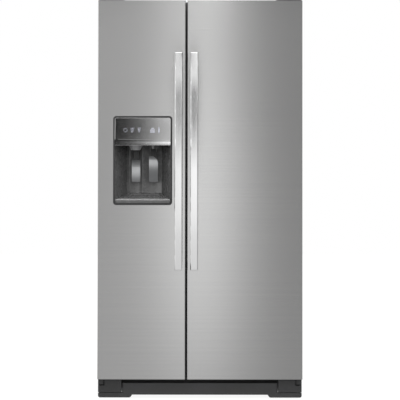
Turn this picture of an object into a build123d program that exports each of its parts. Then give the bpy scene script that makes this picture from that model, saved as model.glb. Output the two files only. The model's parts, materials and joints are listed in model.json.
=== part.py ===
from build123d import *
import os
from math import cos, radians, sin, sqrt

# Side by side refrigerator with an ice and water dispenser in the freezer door.
# Millimetres. +Z is up, the doors face -Y, and +X is to the right of a person facing the doors.
# The origin is on the floor, at the middle of the footprint.

# Doors and cabinet
DOOR_SPAN = 908.0  # outer edge of one door to the outer edge of the other
DOOR_BOTTOM = 86.0
DOOR_HEIGHT = 1681.0
DOOR_THICKNESS = 64.0
DOOR_GAP = 9.0  # between the two doors
DOOR_EDGE_RADIUS = 2.5
DOOR_CAP_HEIGHT = 26.0
FREEZER_DOOR_WIDTH = 388.5
GASKET_GAP = 14.0  # back of a door to the front frame
CABINET_DEPTH = 735.0
CABINET_INSET = 2.0  # each side panel stands this far inside the door's edge
CABINET_RISE = 3.0  # cabinet top above the door tops
CABINET_BOTTOM = 94.0  # underside of the insulated box

# Walls
SHEET = 1.0  # steel skins and panels
LINER = 2.5
SIDE_WALL = 55.0  # outside of the cabinet to the inside of a compartment
TOP_WALL = 60.0
FLOOR_WALL = 56.0
BACK_WALL = 75.0
DIVIDER = 70.0
MACHINE_DEPTH = 210.0
MACHINE_TOP = 270.0
MACHINE_WALL = 50.0

# Fits
RUNNING_FIT = 0.05  # radial clearance of a pin in its bore
SEAT_GAP = 0.3  # between faces that slide on each other
PASS_GAP = 1.5  # between pieces that pass each other
SWING_GAP = 3.5  # between a swinging door's inner parts and the compartment wall

# Door hinges
HINGE_INSET = 22.0  # axis from the door's outer edge
HINGE_DEPTH = 28.0  # axis behind the door's front face
HINGE_PIN_RADIUS = 5.0
HINGE_PIN_REACH = 20.0
HINGE_PLATE = 4.0
HINGE_WIDTH = 50.0
HINGE_COLLAR = 9.0
HINGE_COLLAR_RADIUS = 9.0
HINGE_LUG = 9.5  # bracket in front of the axis
HINGE_FOOT = 70.0  # top bracket behind the cabinet front
SCREW_RADIUS = 3.0
SCREW_HEAD_RADIUS = 5.5
SCREW_HEAD = 3.5
HINGE_COVER_HEIGHT = 19.0
HINGE_COVER_WIDTH = 112.0
HINGE_COVER_FRONT = 10.0  # behind the door's front face
HINGE_COVER_DEPTH = 150.0
COVER_WALL = 2.5

# Toe grille and bottom hinge covers
TOE_SETBACK = 12.0  # behind the door's front face
TOE_END_INSET = 3.0
TOE_BLOCK_WIDTH = 103.0
TOE_BLOCK_BOTTOM = 27.5
TOE_BLOCK_GAP = 1.5
TOE_NOTCH_WIDTH = 28.5
TOE_NOTCH_HEIGHT = 27.0
TOE_NOTCH_LINE = 5.0  # gap round the tab in front of the hinge
TOE_SLOT = 7.0
TOE_FLANGE_BOTTOM = 4.5
TOE_FLANGE_TOP = 25.5
TOE_FLANGE_REACH = 142.0
TOE_FLANGE_SLANT = 9.0
TOE_STRIP_BOTTOM = 17.0
TOE_STRIP_TOP = 69.0
TOE_RETURN = 16.0
TOE_LEDGE = 30.0  # behind the flanges, under the hinge covers
TOE_LEDGE_WALL = 3.0
TOE_CORNER = 9.0
TOE_CLIP_X = 235.0

# Handles
HANDLE_REACH = 58.0  # door face to the front of a handle
HANDLE_WIDTH = 34.0
HANDLE_LENGTH = 961.0
HANDLE_RISE = 484.0  # lower end above the door's bottom
HANDLE_INSET = 13.0  # from the door's inner edge
HANDLE_BAR = 13.0
HANDLE_BOW = 20.0  # middle further out than the ends
HANDLE_FOOT = 36.0
HANDLE_EDGE = 3.5
STUD_RADIUS = 4.0
STUD_REACH = 12.0

# Gaskets
GASKET_WIDTH = 15.0
GASKET_HINGE_INSET = 24.0
GASKET_EDGE_INSET = 12.0
GASKET_WAIST = 4.0
GASKET_BAND = 4.6

# Door liners and bins
RIB_WIDTH = 10.0
RIB_EDGE = 3.0
RIB_REACH = 31.0  # behind the front frame
RIB_WALL_GAP = 9.0
RIB_END_GAP = 14.0
BIN_REACH = 88.0  # behind the front frame
SHALLOW_BIN_DEPTH = 55.0
BIN_WALL = 3.0
BIN_LEDGE = 6.0
FREEZER_BINS = ((175.0, 110.0, True), (455.0, 105.0, False), (670.0, 105.0, False), (1545.0, 95.0, False))
REFRIGERATOR_BINS = (
    (175.0, 110.0, True),
    (400.0, 110.0, True),
    (650.0, 120.0, False),
    (920.0, 110.0, False),
    (1180.0, 110.0, False),
    (1440.0, 90.0, False),
)
LID_THICKNESS = 3.0
LID_PIN_RADIUS = 3.0
LID_PIN_OFFSET = 8.0
LID_SKIRT = 14.0

# Dispenser
DISPENSER_OFFSET = 5.0  # middle of the dispenser from the middle of the freezer door
DISPENSER_WIDTH = 262.0
DISPENSER_HEIGHT = 395.5
DISPENSER_RISE = 770.3
DISPENSER_RADIUS = 14.0
BEZEL_PROUD = 3.0
BEZEL_BORDER = 7.5
BEZEL_SILL = 10.0
PANEL_HEIGHT = 127.5  # top of the dispenser to the panel's lower edge
PANEL_TOP_PROUD = 5.0
PANEL_SLOPE = 0.1404  # how far the face leans out for its height
PANEL_LIP_HEIGHT = 26.0
PANEL_LIP_DROP = 4.6  # nose of the lip below the panel's lower edge
PANEL_LIP_LEANS = (12.5, 7.9)  # degrees, at the top and at the foot of the curved lip
PANEL_STEP = 0.6  # the lip stands out from the face above it
PANEL_NOSE_RADIUS = 1.0
PANEL_EDGE = 2.0
PANEL_BACK = 4.0
PANEL_GROOVE = 1.0
PANEL_GROOVE_DEPTH = 3.0
PANEL_GROOVE_END = 14.0  # from the panel's sides
TUB_DEPTH = 112.0
TUB_WALL = 3.0
TUB_BACK_WIDTH = 148.0
TUB_BACK_OFFSET = 5.0
TUB_CORNER = 34.0
NICHE_DEPTH = 12.0
NICHE_BACK = 0.5  # left behind the deepest line of a niche
ICE_NICHE_WIDTH = 55.0
WATER_NICHE_WIDTH = 84.0
NICHE_RIDGE = 3.0  # between the two niches
BUMP_FOAM = 12.0
BUMP_MARGIN = 13.0
BUMP_RADIUS = 14.0
BUMP_TOP_RISE = 78.0  # top of the bump above the top of the dispenser

# Ice chute, spouts and levers
CHUTE_OFFSET = -33.0  # from the middle of the dispenser
CHUTE_RADIUS = 31.0
CHUTE_WALL = 4.0
CHUTE_FRONT = 40.0  # lower end behind the door's front face
CHUTE_NOSE = 58.0  # how far the mouth stands out from the bump
SPOUT_TOP_RADIUS = 33.0
SPOUT_TIP_RADIUS = 21.0
SPOUT_DROP = 23.0
NOZZLE_OFFSET = 45.0
NOZZLE_RADIUS = 6.0
NOZZLE_DROP = 16.0
FLAP_RADIUS = 24.0
FLAP_THICKNESS = 2.0
FLAP_DROP = 95.0  # along the chute, from its mouth
LEVER_PIVOT_DEPTH = 86.0
LEVER_PIVOT_DROP = 15.0
LEVER_PIN_RADIUS = 2.5
LEVER_THICKNESS = 4.0
LEVER_EAR = 4.0
ICE_LEVER_WIDTH = 38.0
WATER_LEVER_WIDTH = 40.0
LEVER_ARM_WIDTH = 22.0
LEVER_LENGTH = 148.0
ICE_PAD_HEIGHT = 100.0
WATER_PAD_HEIGHT = 117.0
LEVER_PAD_FORWARD = 13.0
LEVER_LEAN = 12.0  # top of the ice pad behind its bend
ICE_BEND_HEIGHT = 67.0
WATER_SHOULDER = 34.0
LEVER_LAP = 14.0  # arm behind the pad
TRAY_LIP = 16.0
TRAY_BACK_RISE = 30.0
TRAY_BASIN = 5.0
TRAY_RIM = 8.0
TRAY_EDGE = 5.0
TRAY_GROOVE = 1.2
TRAY_GROOVE_RISE = 7.0
TRAY_GROOVE_HEIGHT = 3.0

# Shelves and drawers
SHELF_SETBACK = 115.0  # behind the front frame
DRAWER_SETBACK = 135.0
SHELF_HEIGHT = 14.0
SHELF_BAR = 18.0
SHELF_REBATE = 6.0
SHELF_GLASS = 4.0
LEDGE_WIDTH = 7.0
LEDGE_HEIGHT = 6.0
SHELF_SIDE_GAP = 3.0
REFRIGERATOR_SHELVES = (606.0, 870.0, 1120.0, 1370.0)
FREEZER_SHELVES = (520.0, 770.0, 1020.0)
ICE_SHELF = 1321.0
DRAWER_WALL = 3.0
DRAWER_SIDE_GAP = 12.0
DRAWER_FLANGE = 4.0
DRAWER_GRIP = 12.0
LOWER_CRISPER = (155.0, 370.0)
UPPER_CRISPER = (385.0, 598.0)
FREEZER_BASKET = (155.0, 420.0)
ICE_BIN_FRONT = 38.0  # behind the front frame
ICE_BIN_DEPTH = 320.0
ICE_BIN_HEIGHT = 165.0
ICE_BIN_GAP = 12.0  # from the inner faces of the door's ribs
AUGER_SHAFT_RADIUS = 6.0
AUGER_RADIUS = 40.0
AUGER_BLADES = 8
AUGER_BLADE = 5.0

# Freezer cooling and ice parts
COVER_SPACE = 80.0  # evaporator cover in front of the freezer's back wall
COVER_THICKNESS = 3.0
EVAPORATOR_HEIGHT = 330.0
EVAPORATOR_DEPTH = 56.0
EVAPORATOR_RISE = 60.0  # above the step in the freezer floor
EVAPORATOR_COUNT = 9
EVAPORATOR_PLATE = 3.0
TUBE_RADIUS = 4.0
TUBE_SHARES = (0.25, 0.75)  # places of the two tubes across the plates
FAN_RADIUS = 52.0
FAN_HUB_RADIUS = 16.0
FAN_HUB = 16.0
FAN_BLADES = 5
FAN_BLADE = 2.5
FAN_BLADE_WIDTH = 26.0
FAN_SLOTS = 9
FAN_PITCH = 28.0
FAN_SHAFT_RADIUS = 3.0
MOTOR_RADIUS = 22.0
MOTOR_LENGTH = 34.0
EVAPORATOR_FAN_Z = 1180.0
ICE_MAKER_WIDTH = 105.0
ICE_MAKER_DEPTH = 290.0
ICE_MAKER_HEIGHT = 95.0
ICE_MAKER_Z = 1560.0
ICE_MOULD_DEPTH = 38.0
LIGHT_HEIGHT = 14.0
LIGHT_DEPTH = 70.0
FREEZER_LIGHT = 120.0
REFRIGERATOR_LIGHT = 190.0
FILTER_RADIUS = 30.0
FILTER_LENGTH = 250.0
FILTER_SADDLE = 36.0

# Machine compartment
DECK_Z = 40.0
DECK = 3.0
COMPRESSOR_RADIUS = 78.0
COMPRESSOR_HEIGHT = 150.0
COMPRESSOR_FOOT = 12.0
COMPRESSOR_PLATE = 140.0
COMPRESSOR_X = 210.0
CONDENSER_X = -150.0
CONDENSER_WIDTH = 170.0
CONDENSER_HEIGHT = 150.0
CONDENSER_DEPTH = 120.0
CONDENSER_COUNT = 7
MACHINE_FAN_X = 20.0
PAN_WALL = 2.0
PAN_GAP = 7.0
PAN_HEIGHT = 22.0
VALVE_Z = 190.0
VALVE_SIZE = 40.0
INLET_RADIUS = 6.0
INLET_LENGTH = 14.0
GLAND_Z = 110.0
GLAND_RADIUS = 11.0
COVER_SLOT = 8.0
COVER_SLOT_PITCH = 24.0

# Running gear
RAIL_WIDTH = 46.0
RAIL_WALL = 2.5
RAIL_BOTTOM = 24.0
ROLLER_RADIUS = 25.0
ROLLER_WIDTH = 30.0
AXLE_RADIUS = 5.0
FRONT_ROLLER_LIFT = 2.0
FRONT_ROLLER_SETBACK = 105.0
REAR_ROLLER_SETBACK = 60.0
LEG_SETBACK = 30.0
LEG_RADIUS = 5.0
LEG_TOP = 76.0
LEG_PAD_RADIUS = 16.0
LEG_PAD = 8.0
LEG_HEX_RADIUS = 9.0
LEG_HEX = 10.0
LEG_NUT_BOTTOM = 48.0
LEG_NUT_TOP = 70.0
LEG_NUT_DEPTH = 30.0
CROSS_RAIL = 24.0

# Planes and edges that the sizes above give
OVERALL_DEPTH = HANDLE_REACH + DOOR_THICKNESS + GASKET_GAP + CABINET_DEPTH
Y_DOOR = HANDLE_REACH - OVERALL_DEPTH / 2
Y_DOOR_BACK = Y_DOOR + DOOR_THICKNESS
Y_CABINET = Y_DOOR_BACK + GASKET_GAP
Y_BACK = Y_CABINET + CABINET_DEPTH
DOOR_TOP = DOOR_BOTTOM + DOOR_HEIGHT
CABINET_TOP = DOOR_TOP + CABINET_RISE
HALF_SPAN = DOOR_SPAN / 2
SIDE_X = HALF_SPAN - CABINET_INSET
FREEZER_DOOR = (-HALF_SPAN, -HALF_SPAN + FREEZER_DOOR_WIDTH)
REFRIGERATOR_DOOR = (FREEZER_DOOR[1] + DOOR_GAP, HALF_SPAN)
SPLIT_X = FREEZER_DOOR[1] + DOOR_GAP / 2
FREEZER = (-SIDE_X + SIDE_WALL, SPLIT_X - DIVIDER / 2)
REFRIGERATOR = (SPLIT_X + DIVIDER / 2, SIDE_X - SIDE_WALL)
FLOOR_Z = CABINET_BOTTOM + FLOOR_WALL
CEILING_Z = CABINET_TOP - TOP_WALL
REAR_Y = Y_BACK - BACK_WALL
Y_MACHINE = Y_BACK - MACHINE_DEPTH
STEP_Y = Y_MACHINE - MACHINE_WALL
STEP_Z = MACHINE_TOP + MACHINE_WALL
Y_HINGE = Y_DOOR + HINGE_DEPTH
HINGE_X = HALF_SPAN - HINGE_INSET
SHELF_FRONT = Y_CABINET + SHELF_SETBACK
DRAWER_FRONT = Y_CABINET + DRAWER_SETBACK
COVER_Y = REAR_Y - COVER_SPACE
RAIL_OUT = SIDE_X - SHEET
RAIL_IN = RAIL_OUT - RAIL_WIDTH
RAIL_X = (RAIL_OUT + RAIL_IN) / 2
TOE_Y = Y_DOOR + TOE_SETBACK

DISPENSER_X = (FREEZER_DOOR[0] + FREEZER_DOOR[1]) / 2 + DISPENSER_OFFSET
DISPENSER_Z = DOOR_BOTTOM + DISPENSER_RISE
DISPENSER_TOP = DISPENSER_Z + DISPENSER_HEIGHT
PANEL_BOTTOM = DISPENSER_TOP - PANEL_HEIGHT
TUB_HALF = DISPENSER_WIDTH / 2 - BEZEL_BORDER - PASS_GAP
TUB_FLOOR = DISPENSER_Z + BEZEL_SILL
TUB_CEILING = PANEL_BOTTOM + SEAT_GAP
TUB_BACK = Y_DOOR + TUB_DEPTH
BUMP_Y = TUB_BACK + TUB_WALL + BUMP_FOAM + LINER
BUMP_HALF = DISPENSER_WIDTH / 2 - BUMP_MARGIN
BUMP_Z = (DISPENSER_Z - BUMP_MARGIN, DISPENSER_TOP + BUMP_TOP_RISE)
CHUTE_X = DISPENSER_X + CHUTE_OFFSET
CHUTE_MOUTH_Y = BUMP_Y + CHUTE_NOSE - CHUTE_RADIUS - 2 * LINER
CHUTE_LOW = Vector(CHUTE_X, Y_DOOR + CHUTE_FRONT, TUB_CEILING)
CHUTE_HIGH = Vector(CHUTE_X, CHUTE_MOUTH_Y, BUMP_Z[1])
LEVER_PIVOT_Y = Y_DOOR + LEVER_PIVOT_DEPTH
LEVER_PIVOT_Z = TUB_CEILING - LEVER_PIVOT_DROP
ICE_LEVER_X = CHUTE_X
WATER_LEVER_X = DISPENSER_X + NOZZLE_OFFSET


def span_box(x, y, z):
    """A box between two values on each axis."""
    size = [abs(pair[1] - pair[0]) for pair in (x, y, z)]
    middle = [(pair[0] + pair[1]) / 2 for pair in (x, y, z)]
    return Pos(*middle) * Box(*size)


def rod(start, end, radius):
    """A cylinder from one point to another."""
    axis = Vector(*end) - Vector(*start)
    plane = Plane(origin=Vector(*start), z_dir=axis)
    return extrude(plane * Circle(radius), axis.length)


def cone_z(x, y, z_low, z_high, low_radius, high_radius):
    """A truncated cone that stands along Z."""
    height = z_high - z_low
    return Pos(x, y, (z_low + z_high) / 2) * Cone(low_radius, high_radius, height)


def round_edges(piece, axis, radius, choose=None):
    """The piece with its edges along an axis rounded, or only those that choose accepts."""
    edges = piece.edges().filter_by(axis)
    if choose is not None:
        edges = edges.filter_by(lambda edge: choose(edge.center()))
    return fillet(edges, radius)


def side_prism(points, x):
    """A prism along X on a closed outline of (y, z) points."""
    plane = Plane(origin=(x[0], 0, 0), x_dir=(0, 1, 0), z_dir=(1, 0, 0))
    face = plane * make_face(Polyline(*points, close=True))
    return extrude(face, x[1] - x[0])


def save(node, *pieces):
    """Writes the solids of one node."""
    solids = [solid for piece in pieces for solid in piece.solids()]
    shape = solids[0] if len(solids) == 1 else Compound(solids)
    export_step(shape, os.path.join("parts", node + ".step"))


# Cabinet
def cabinet_panels():
    sides = []
    for side in (-1, 1):
        face = (side * (SIDE_X - SHEET), side * SIDE_X)
        sides.append(span_box(face, (Y_CABINET, Y_BACK), (RAIL_BOTTOM, CABINET_TOP - SHEET)))
    top = span_box((-SIDE_X, SIDE_X), (Y_CABINET, Y_BACK), (CABINET_TOP - SHEET, CABINET_TOP))
    return sides + [top]


def back_panel():
    inside = SIDE_X - SHEET
    return span_box((-inside, inside), (Y_BACK - SHEET, Y_BACK), (MACHINE_TOP, CABINET_TOP - SHEET))


def front_frame():
    """The flanges round both openings, with the mullion between them."""
    inside = SIDE_X - SHEET
    depth = (Y_CABINET, Y_CABINET + SHEET)
    frame = span_box((-inside, inside), depth, (CABINET_BOTTOM, CABINET_TOP - SHEET))
    for opening in (FREEZER, REFRIGERATOR):
        frame -= span_box(opening, depth, (FLOOR_Z, CEILING_Z))
    return frame


def cabinet_insulation():
    """Foam slabs between the panels and the liners."""
    front = Y_CABINET + SHEET
    back = Y_BACK - SHEET
    top = CABINET_TOP - SHEET
    walls = (
        (-SIDE_X + SHEET, FREEZER[0] - LINER),
        (FREEZER[1] + LINER, REFRIGERATOR[0] - LINER),
        (REFRIGERATOR[1] + LINER, SIDE_X - SHEET),
    )
    slabs = []
    for wall in walls:
        slabs.append(span_box(wall, (front, Y_MACHINE), (CABINET_BOTTOM, top)))
        slabs.append(span_box(wall, (Y_MACHINE, back), (MACHINE_TOP, top)))
    for low, high in (FREEZER, REFRIGERATOR):
        width = (low - LINER, high + LINER)
        slabs.append(span_box(width, (front, back), (CEILING_Z + LINER, top)))
        slabs.append(span_box(width, (front, Y_MACHINE), (CABINET_BOTTOM, FLOOR_Z - LINER)))
        slabs.append(span_box(width, (STEP_Y + LINER, Y_MACHINE), (FLOOR_Z - LINER, STEP_Z - LINER)))
        slabs.append(span_box(width, (Y_MACHINE, back), (MACHINE_TOP, STEP_Z - LINER)))
        slabs.append(span_box(width, (REAR_Y + LINER, back), (STEP_Z - LINER, CEILING_Z + LINER)))
    return slabs


def compartment(width, grow):
    """The inside of a compartment, grown outwards by the liner's thickness or by nothing."""
    front = Y_CABINET + SHEET
    points = (
        (front, FLOOR_Z - grow),
        (STEP_Y + grow, FLOOR_Z - grow),
        (STEP_Y + grow, STEP_Z - grow),
        (REAR_Y + grow, STEP_Z - grow),
        (REAR_Y + grow, CEILING_Z + grow),
        (front, CEILING_Z + grow),
    )
    return side_prism(points, (width[0] - grow, width[1] + grow))


def ledge_pair(width, y, top):
    """Two moulded ledges along the side walls of a compartment."""
    height = (top - LEDGE_HEIGHT, top)
    left = span_box((width[0], width[0] + LEDGE_WIDTH), y, height)
    right = span_box((width[1] - LEDGE_WIDTH, width[1]), y, height)
    return [left, right]


def drawer_ledge(levels):
    """The height of the ledge under a drawer's flange."""
    return levels[1] - DRAWER_FLANGE - SEAT_GAP


def compartment_liner(width, shelves, shelf_back, drawers):
    liner = compartment(width, LINER) - compartment(width, 0)
    for z in shelves:
        for ledge in ledge_pair(width, (SHELF_FRONT, shelf_back), z):
            liner += ledge
    for levels, back in drawers:
        for ledge in ledge_pair(width, (SHELF_FRONT, back), drawer_ledge(levels)):
            liner += ledge
    return liner


# Base, running gear and machine compartment
def rail(side):
    """Three strips that make a channel, open below, for a roller at each end and a leg."""
    length = (Y_CABINET, Y_BACK)
    top = CABINET_BOTTOM - RAIL_WALL
    strips = [span_box((side * RAIL_IN, side * RAIL_OUT), length, (top, CABINET_BOTTOM))]
    for edge in (RAIL_IN, RAIL_OUT - RAIL_WALL):
        strips.append(span_box((side * edge, side * (edge + RAIL_WALL)), length, (RAIL_BOTTOM, top)))
    return strips


def roller_centre(rear):
    if rear:
        return Y_BACK - REAR_ROLLER_SETBACK, ROLLER_RADIUS
    return Y_CABINET + FRONT_ROLLER_SETBACK, ROLLER_RADIUS + FRONT_ROLLER_LIFT


def base_frame():
    pieces = []
    leg_y = Y_CABINET + LEG_SETBACK
    for side in (-1, 1):
        pieces += rail(side)
        inner = (side * (RAIL_IN + RAIL_WALL), side * (RAIL_OUT - RAIL_WALL))
        for rear in (False, True):
            y, z = roller_centre(rear)
            pieces.append(rod((inner[0], y, z), (inner[1], y, z), AXLE_RADIUS))
        nut_y = (leg_y - LEG_NUT_DEPTH / 2, leg_y + LEG_NUT_DEPTH / 2)
        nut = span_box(inner, nut_y, (LEG_NUT_BOTTOM, LEG_NUT_TOP))
        x = side * RAIL_X
        nut -= rod((x, leg_y, LEG_NUT_BOTTOM), (x, leg_y, LEG_NUT_TOP), LEG_RADIUS + RUNNING_FIT)
        pieces.append(nut)
    across = (-RAIL_IN, RAIL_IN)
    pieces.append(span_box(across, (Y_CABINET, Y_CABINET + CROSS_RAIL), (DECK_Z, CABINET_BOTTOM)))
    pieces.append(span_box(across, (Y_MACHINE, Y_BACK - COVER_THICKNESS), (DECK_Z, DECK_Z + DECK)))
    return pieces


def rollers(rear):
    y, z = roller_centre(rear)
    wheels = []
    for side in (-1, 1):
        ends = [(side * RAIL_X + half * ROLLER_WIDTH / 2, y, z) for half in (-1, 1)]
        wheel = rod(*ends, ROLLER_RADIUS) - rod(*ends, AXLE_RADIUS + RUNNING_FIT)
        wheels.append(wheel)
    return wheels


def leveling_leg(side):
    x = side * RAIL_X
    y = Y_CABINET + LEG_SETBACK
    leg = rod((x, y, 0), (x, y, LEG_PAD), LEG_PAD_RADIUS)
    hexagon = Pos(x, y, LEG_PAD) * RegularPolygon(LEG_HEX_RADIUS, 6)
    leg += extrude(hexagon, LEG_HEX)
    return leg + rod((x, y, LEG_PAD + LEG_HEX), (x, y, LEG_TOP), LEG_RADIUS)


def compressor():
    """A welded shell on a plate with four feet."""
    y = (Y_MACHINE + Y_BACK) / 2
    floor = DECK_Z + DECK
    plate_z = floor + COMPRESSOR_FOOT
    top = plate_z + DECK + COMPRESSOR_HEIGHT
    shell = rod((COMPRESSOR_X, y, plate_z), (COMPRESSOR_X, y, top), COMPRESSOR_RADIUS)
    rims = shell.edges().filter_by(GeomType.CIRCLE).sort_by(Axis.Z)[-1:]
    shell = fillet(rims, COMPRESSOR_RADIUS / 2)
    half = COMPRESSOR_PLATE / 2
    plate_x = (COMPRESSOR_X - half, COMPRESSOR_X + half)
    plate = span_box(plate_x, (y - half, y + half), (plate_z, plate_z + DECK))
    body = shell + plate
    for x_side in (-1, 1):
        for y_side in (-1, 1):
            x_foot = COMPRESSOR_X + x_side * (half - COMPRESSOR_FOOT)
            y_foot = y + y_side * (half - COMPRESSOR_FOOT)
            body += rod((x_foot, y_foot, floor), (x_foot, y_foot, plate_z), COMPRESSOR_FOOT)
    return body


def plate_stack(x, y, z, count, thickness, along):
    """Parallel plates on two tubes, as in a finned coil. Along is 0 for plates stacked on X, 2 on Z."""
    spans = [x, y, z]
    low, high = spans[along]
    pitch = (high - low - thickness) / (count - 1)
    stack = None
    for index in range(count):
        start = low + index * pitch
        plate_spans = list(spans)
        plate_spans[along] = (start, start + thickness)
        plate = span_box(*plate_spans)
        stack = plate if stack is None else stack + plate
    others = [axis for axis in range(3) if axis != along]
    for share in TUBE_SHARES:
        start = [0.0, 0.0, 0.0]
        start[along] = low
        start[others[0]] = sum(spans[others[0]]) / 2
        start[others[1]] = spans[others[1]][0] + share * (spans[others[1]][1] - spans[others[1]][0])
        end = list(start)
        end[along] = high
        stack += rod(start, end, TUBE_RADIUS)
    return stack


def condenser():
    y = (Y_MACHINE + Y_BACK) / 2
    floor = DECK_Z + DECK
    x = (CONDENSER_X - CONDENSER_WIDTH / 2, CONDENSER_X + CONDENSER_WIDTH / 2)
    depth = (y - CONDENSER_DEPTH / 2, y + CONDENSER_DEPTH / 2)
    return plate_stack(x, depth, (floor, floor + CONDENSER_HEIGHT), CONDENSER_COUNT, DECK, 0)


def fan_plane(cooling):
    """Where a fan turns: local Z runs from the motor to the blades."""
    if cooling:
        x = (FREEZER[0] + FREEZER[1]) / 2
        return Plane(origin=(x, REAR_Y, EVAPORATOR_FAN_Z), z_dir=(0, -1, 0))
    y = (Y_MACHINE + Y_BACK) / 2
    z = DECK_Z + DECK + FAN_RADIUS + 2 * FAN_HUB
    return Plane(origin=(MACHINE_FAN_X + MOTOR_LENGTH, y, z), z_dir=(-1, 0, 0))


def fan_motor(cooling):
    motor = extrude(Circle(MOTOR_RADIUS), MOTOR_LENGTH)
    motor += Pos(0, 0, MOTOR_LENGTH) * extrude(Circle(FAN_SHAFT_RADIUS), FAN_HUB + SEAT_GAP)
    motor = fan_plane(cooling) * motor
    if not cooling:
        origin = fan_plane(cooling).origin
        post_x = (origin.X - MOTOR_LENGTH, origin.X)
        post_y = (origin.Y - MOTOR_RADIUS / 2, origin.Y + MOTOR_RADIUS / 2)
        motor += span_box(post_x, post_y, (DECK_Z + DECK, origin.Z))
    return motor


def fan(cooling):
    start = MOTOR_LENGTH + SEAT_GAP
    wheel = Pos(0, 0, start) * extrude(Circle(FAN_HUB_RADIUS), FAN_HUB)
    blade_length = FAN_RADIUS - FAN_HUB_RADIUS / 2
    for index in range(FAN_BLADES):
        blade = Rot(FAN_PITCH, 0, 0) * Box(blade_length, FAN_BLADE_WIDTH, FAN_BLADE)
        blade = Pos(FAN_RADIUS - blade_length / 2, 0, start + FAN_HUB / 2) * blade
        wheel += Rot(0, 0, index * 360 / FAN_BLADES) * blade
    wheel -= Pos(0, 0, start) * extrude(Circle(FAN_SHAFT_RADIUS + RUNNING_FIT), FAN_HUB)
    return fan_plane(cooling) * wheel


def drain_pan():
    """A tray on the deck under the condenser fan's side of the compartment."""
    floor = DECK_Z + DECK
    x = (CONDENSER_X - CONDENSER_WIDTH / 2 - PAN_GAP, -RAIL_IN + PAN_GAP)
    y = (Y_MACHINE + PAN_GAP, Y_BACK - VALVE_SIZE - INLET_LENGTH)
    pan = span_box(x, y, (floor, floor + PAN_HEIGHT))
    inside_x = (x[1] + PAN_WALL, x[0] - PAN_WALL)
    pan -= span_box(inside_x, (y[0] + PAN_WALL, y[1] - PAN_WALL), (floor + PAN_WALL, floor + PAN_HEIGHT))
    return pan


def water_valve():
    """Valve body on the left side panel, with the supply inlet facing the rear."""
    x = (-SIDE_X + SHEET, -SIDE_X + SHEET + 2 * VALVE_SIZE)
    y = (Y_BACK - INLET_LENGTH - VALVE_SIZE, Y_BACK - INLET_LENGTH)
    body = span_box(x, y, (VALVE_Z - VALVE_SIZE / 2, VALVE_Z + VALVE_SIZE / 2))
    middle = (x[0] + x[1]) / 2
    return body + rod((middle, y[1], VALVE_Z), (middle, Y_BACK, VALVE_Z), INLET_RADIUS)


def gland_position():
    return -RAIL_IN + 3 * GLAND_RADIUS, GLAND_Z


def machine_cover():
    """Louvred cover over the machine compartment, with holes for the inlet and the gland."""
    inside = SIDE_X - SHEET
    depth = (Y_BACK - COVER_THICKNESS, Y_BACK)
    cover = span_box((-inside, inside), depth, (CABINET_BOTTOM, MACHINE_TOP))
    across = (-RAIL_IN, RAIL_IN)
    cover += span_box(across, depth, (DECK_Z, CABINET_BOTTOM))
    valve_x = -SIDE_X + SHEET + VALVE_SIZE
    inlet = (valve_x, depth[0], VALVE_Z)
    cover -= rod(inlet, (valve_x, depth[1], VALVE_Z), INLET_RADIUS * 2)
    x, z = gland_position()
    cover -= rod((x, depth[0], z), (x, depth[1], z), GLAND_RADIUS)
    slot_z = (DECK_Z + 2 * COVER_SLOT_PITCH, MACHINE_TOP - COVER_SLOT_PITCH)
    count = int((RAIL_IN * 2 - 8 * COVER_SLOT_PITCH) / COVER_SLOT_PITCH)
    start = -count * COVER_SLOT_PITCH / 2 + 2 * COVER_SLOT_PITCH
    for index in range(count):
        slot_x = start + index * COVER_SLOT_PITCH
        cover -= span_box((slot_x, slot_x + COVER_SLOT), depth, slot_z)
    return cover


def cord_gland():
    """A grommet for the mains cord, in the machine cover."""
    x, z = gland_position()
    start = (x, Y_BACK - COVER_THICKNESS, z)
    end = (x, Y_BACK, z)
    return rod(start, end, GLAND_RADIUS) - rod(start, end, GLAND_RADIUS / 2)


# Hinges
def top_hinge(side):
    """A plate on the cabinet top with a pin down into the door."""
    axis_x = side * HINGE_X
    z = (CABINET_TOP, CABINET_TOP + HINGE_PLATE)
    x = (side * (HINGE_X + HINGE_LUG), side * (HINGE_X + HINGE_LUG - HINGE_WIDTH))
    plate = span_box(x, (Y_HINGE - HINGE_LUG, Y_CABINET + HINGE_FOOT), z)
    plate += rod((axis_x, Y_HINGE, DOOR_TOP - HINGE_PIN_REACH), (axis_x, Y_HINGE, z[0]), HINGE_PIN_RADIUS)
    for x_screw, y_screw in top_screws(side):
        start = (x_screw, y_screw, z[0])
        plate -= rod(start, (x_screw, y_screw, z[1]), SCREW_RADIUS + RUNNING_FIT)
    return plate


def top_screws(side):
    """Places of the screws in a top hinge."""
    middle = side * (HINGE_X + HINGE_LUG - HINGE_WIDTH / 2)
    reach = HINGE_WIDTH / 4
    back = Y_CABINET + HINGE_FOOT - reach
    return (middle - reach, back), (middle + reach, back), (middle, Y_CABINET + reach)


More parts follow.
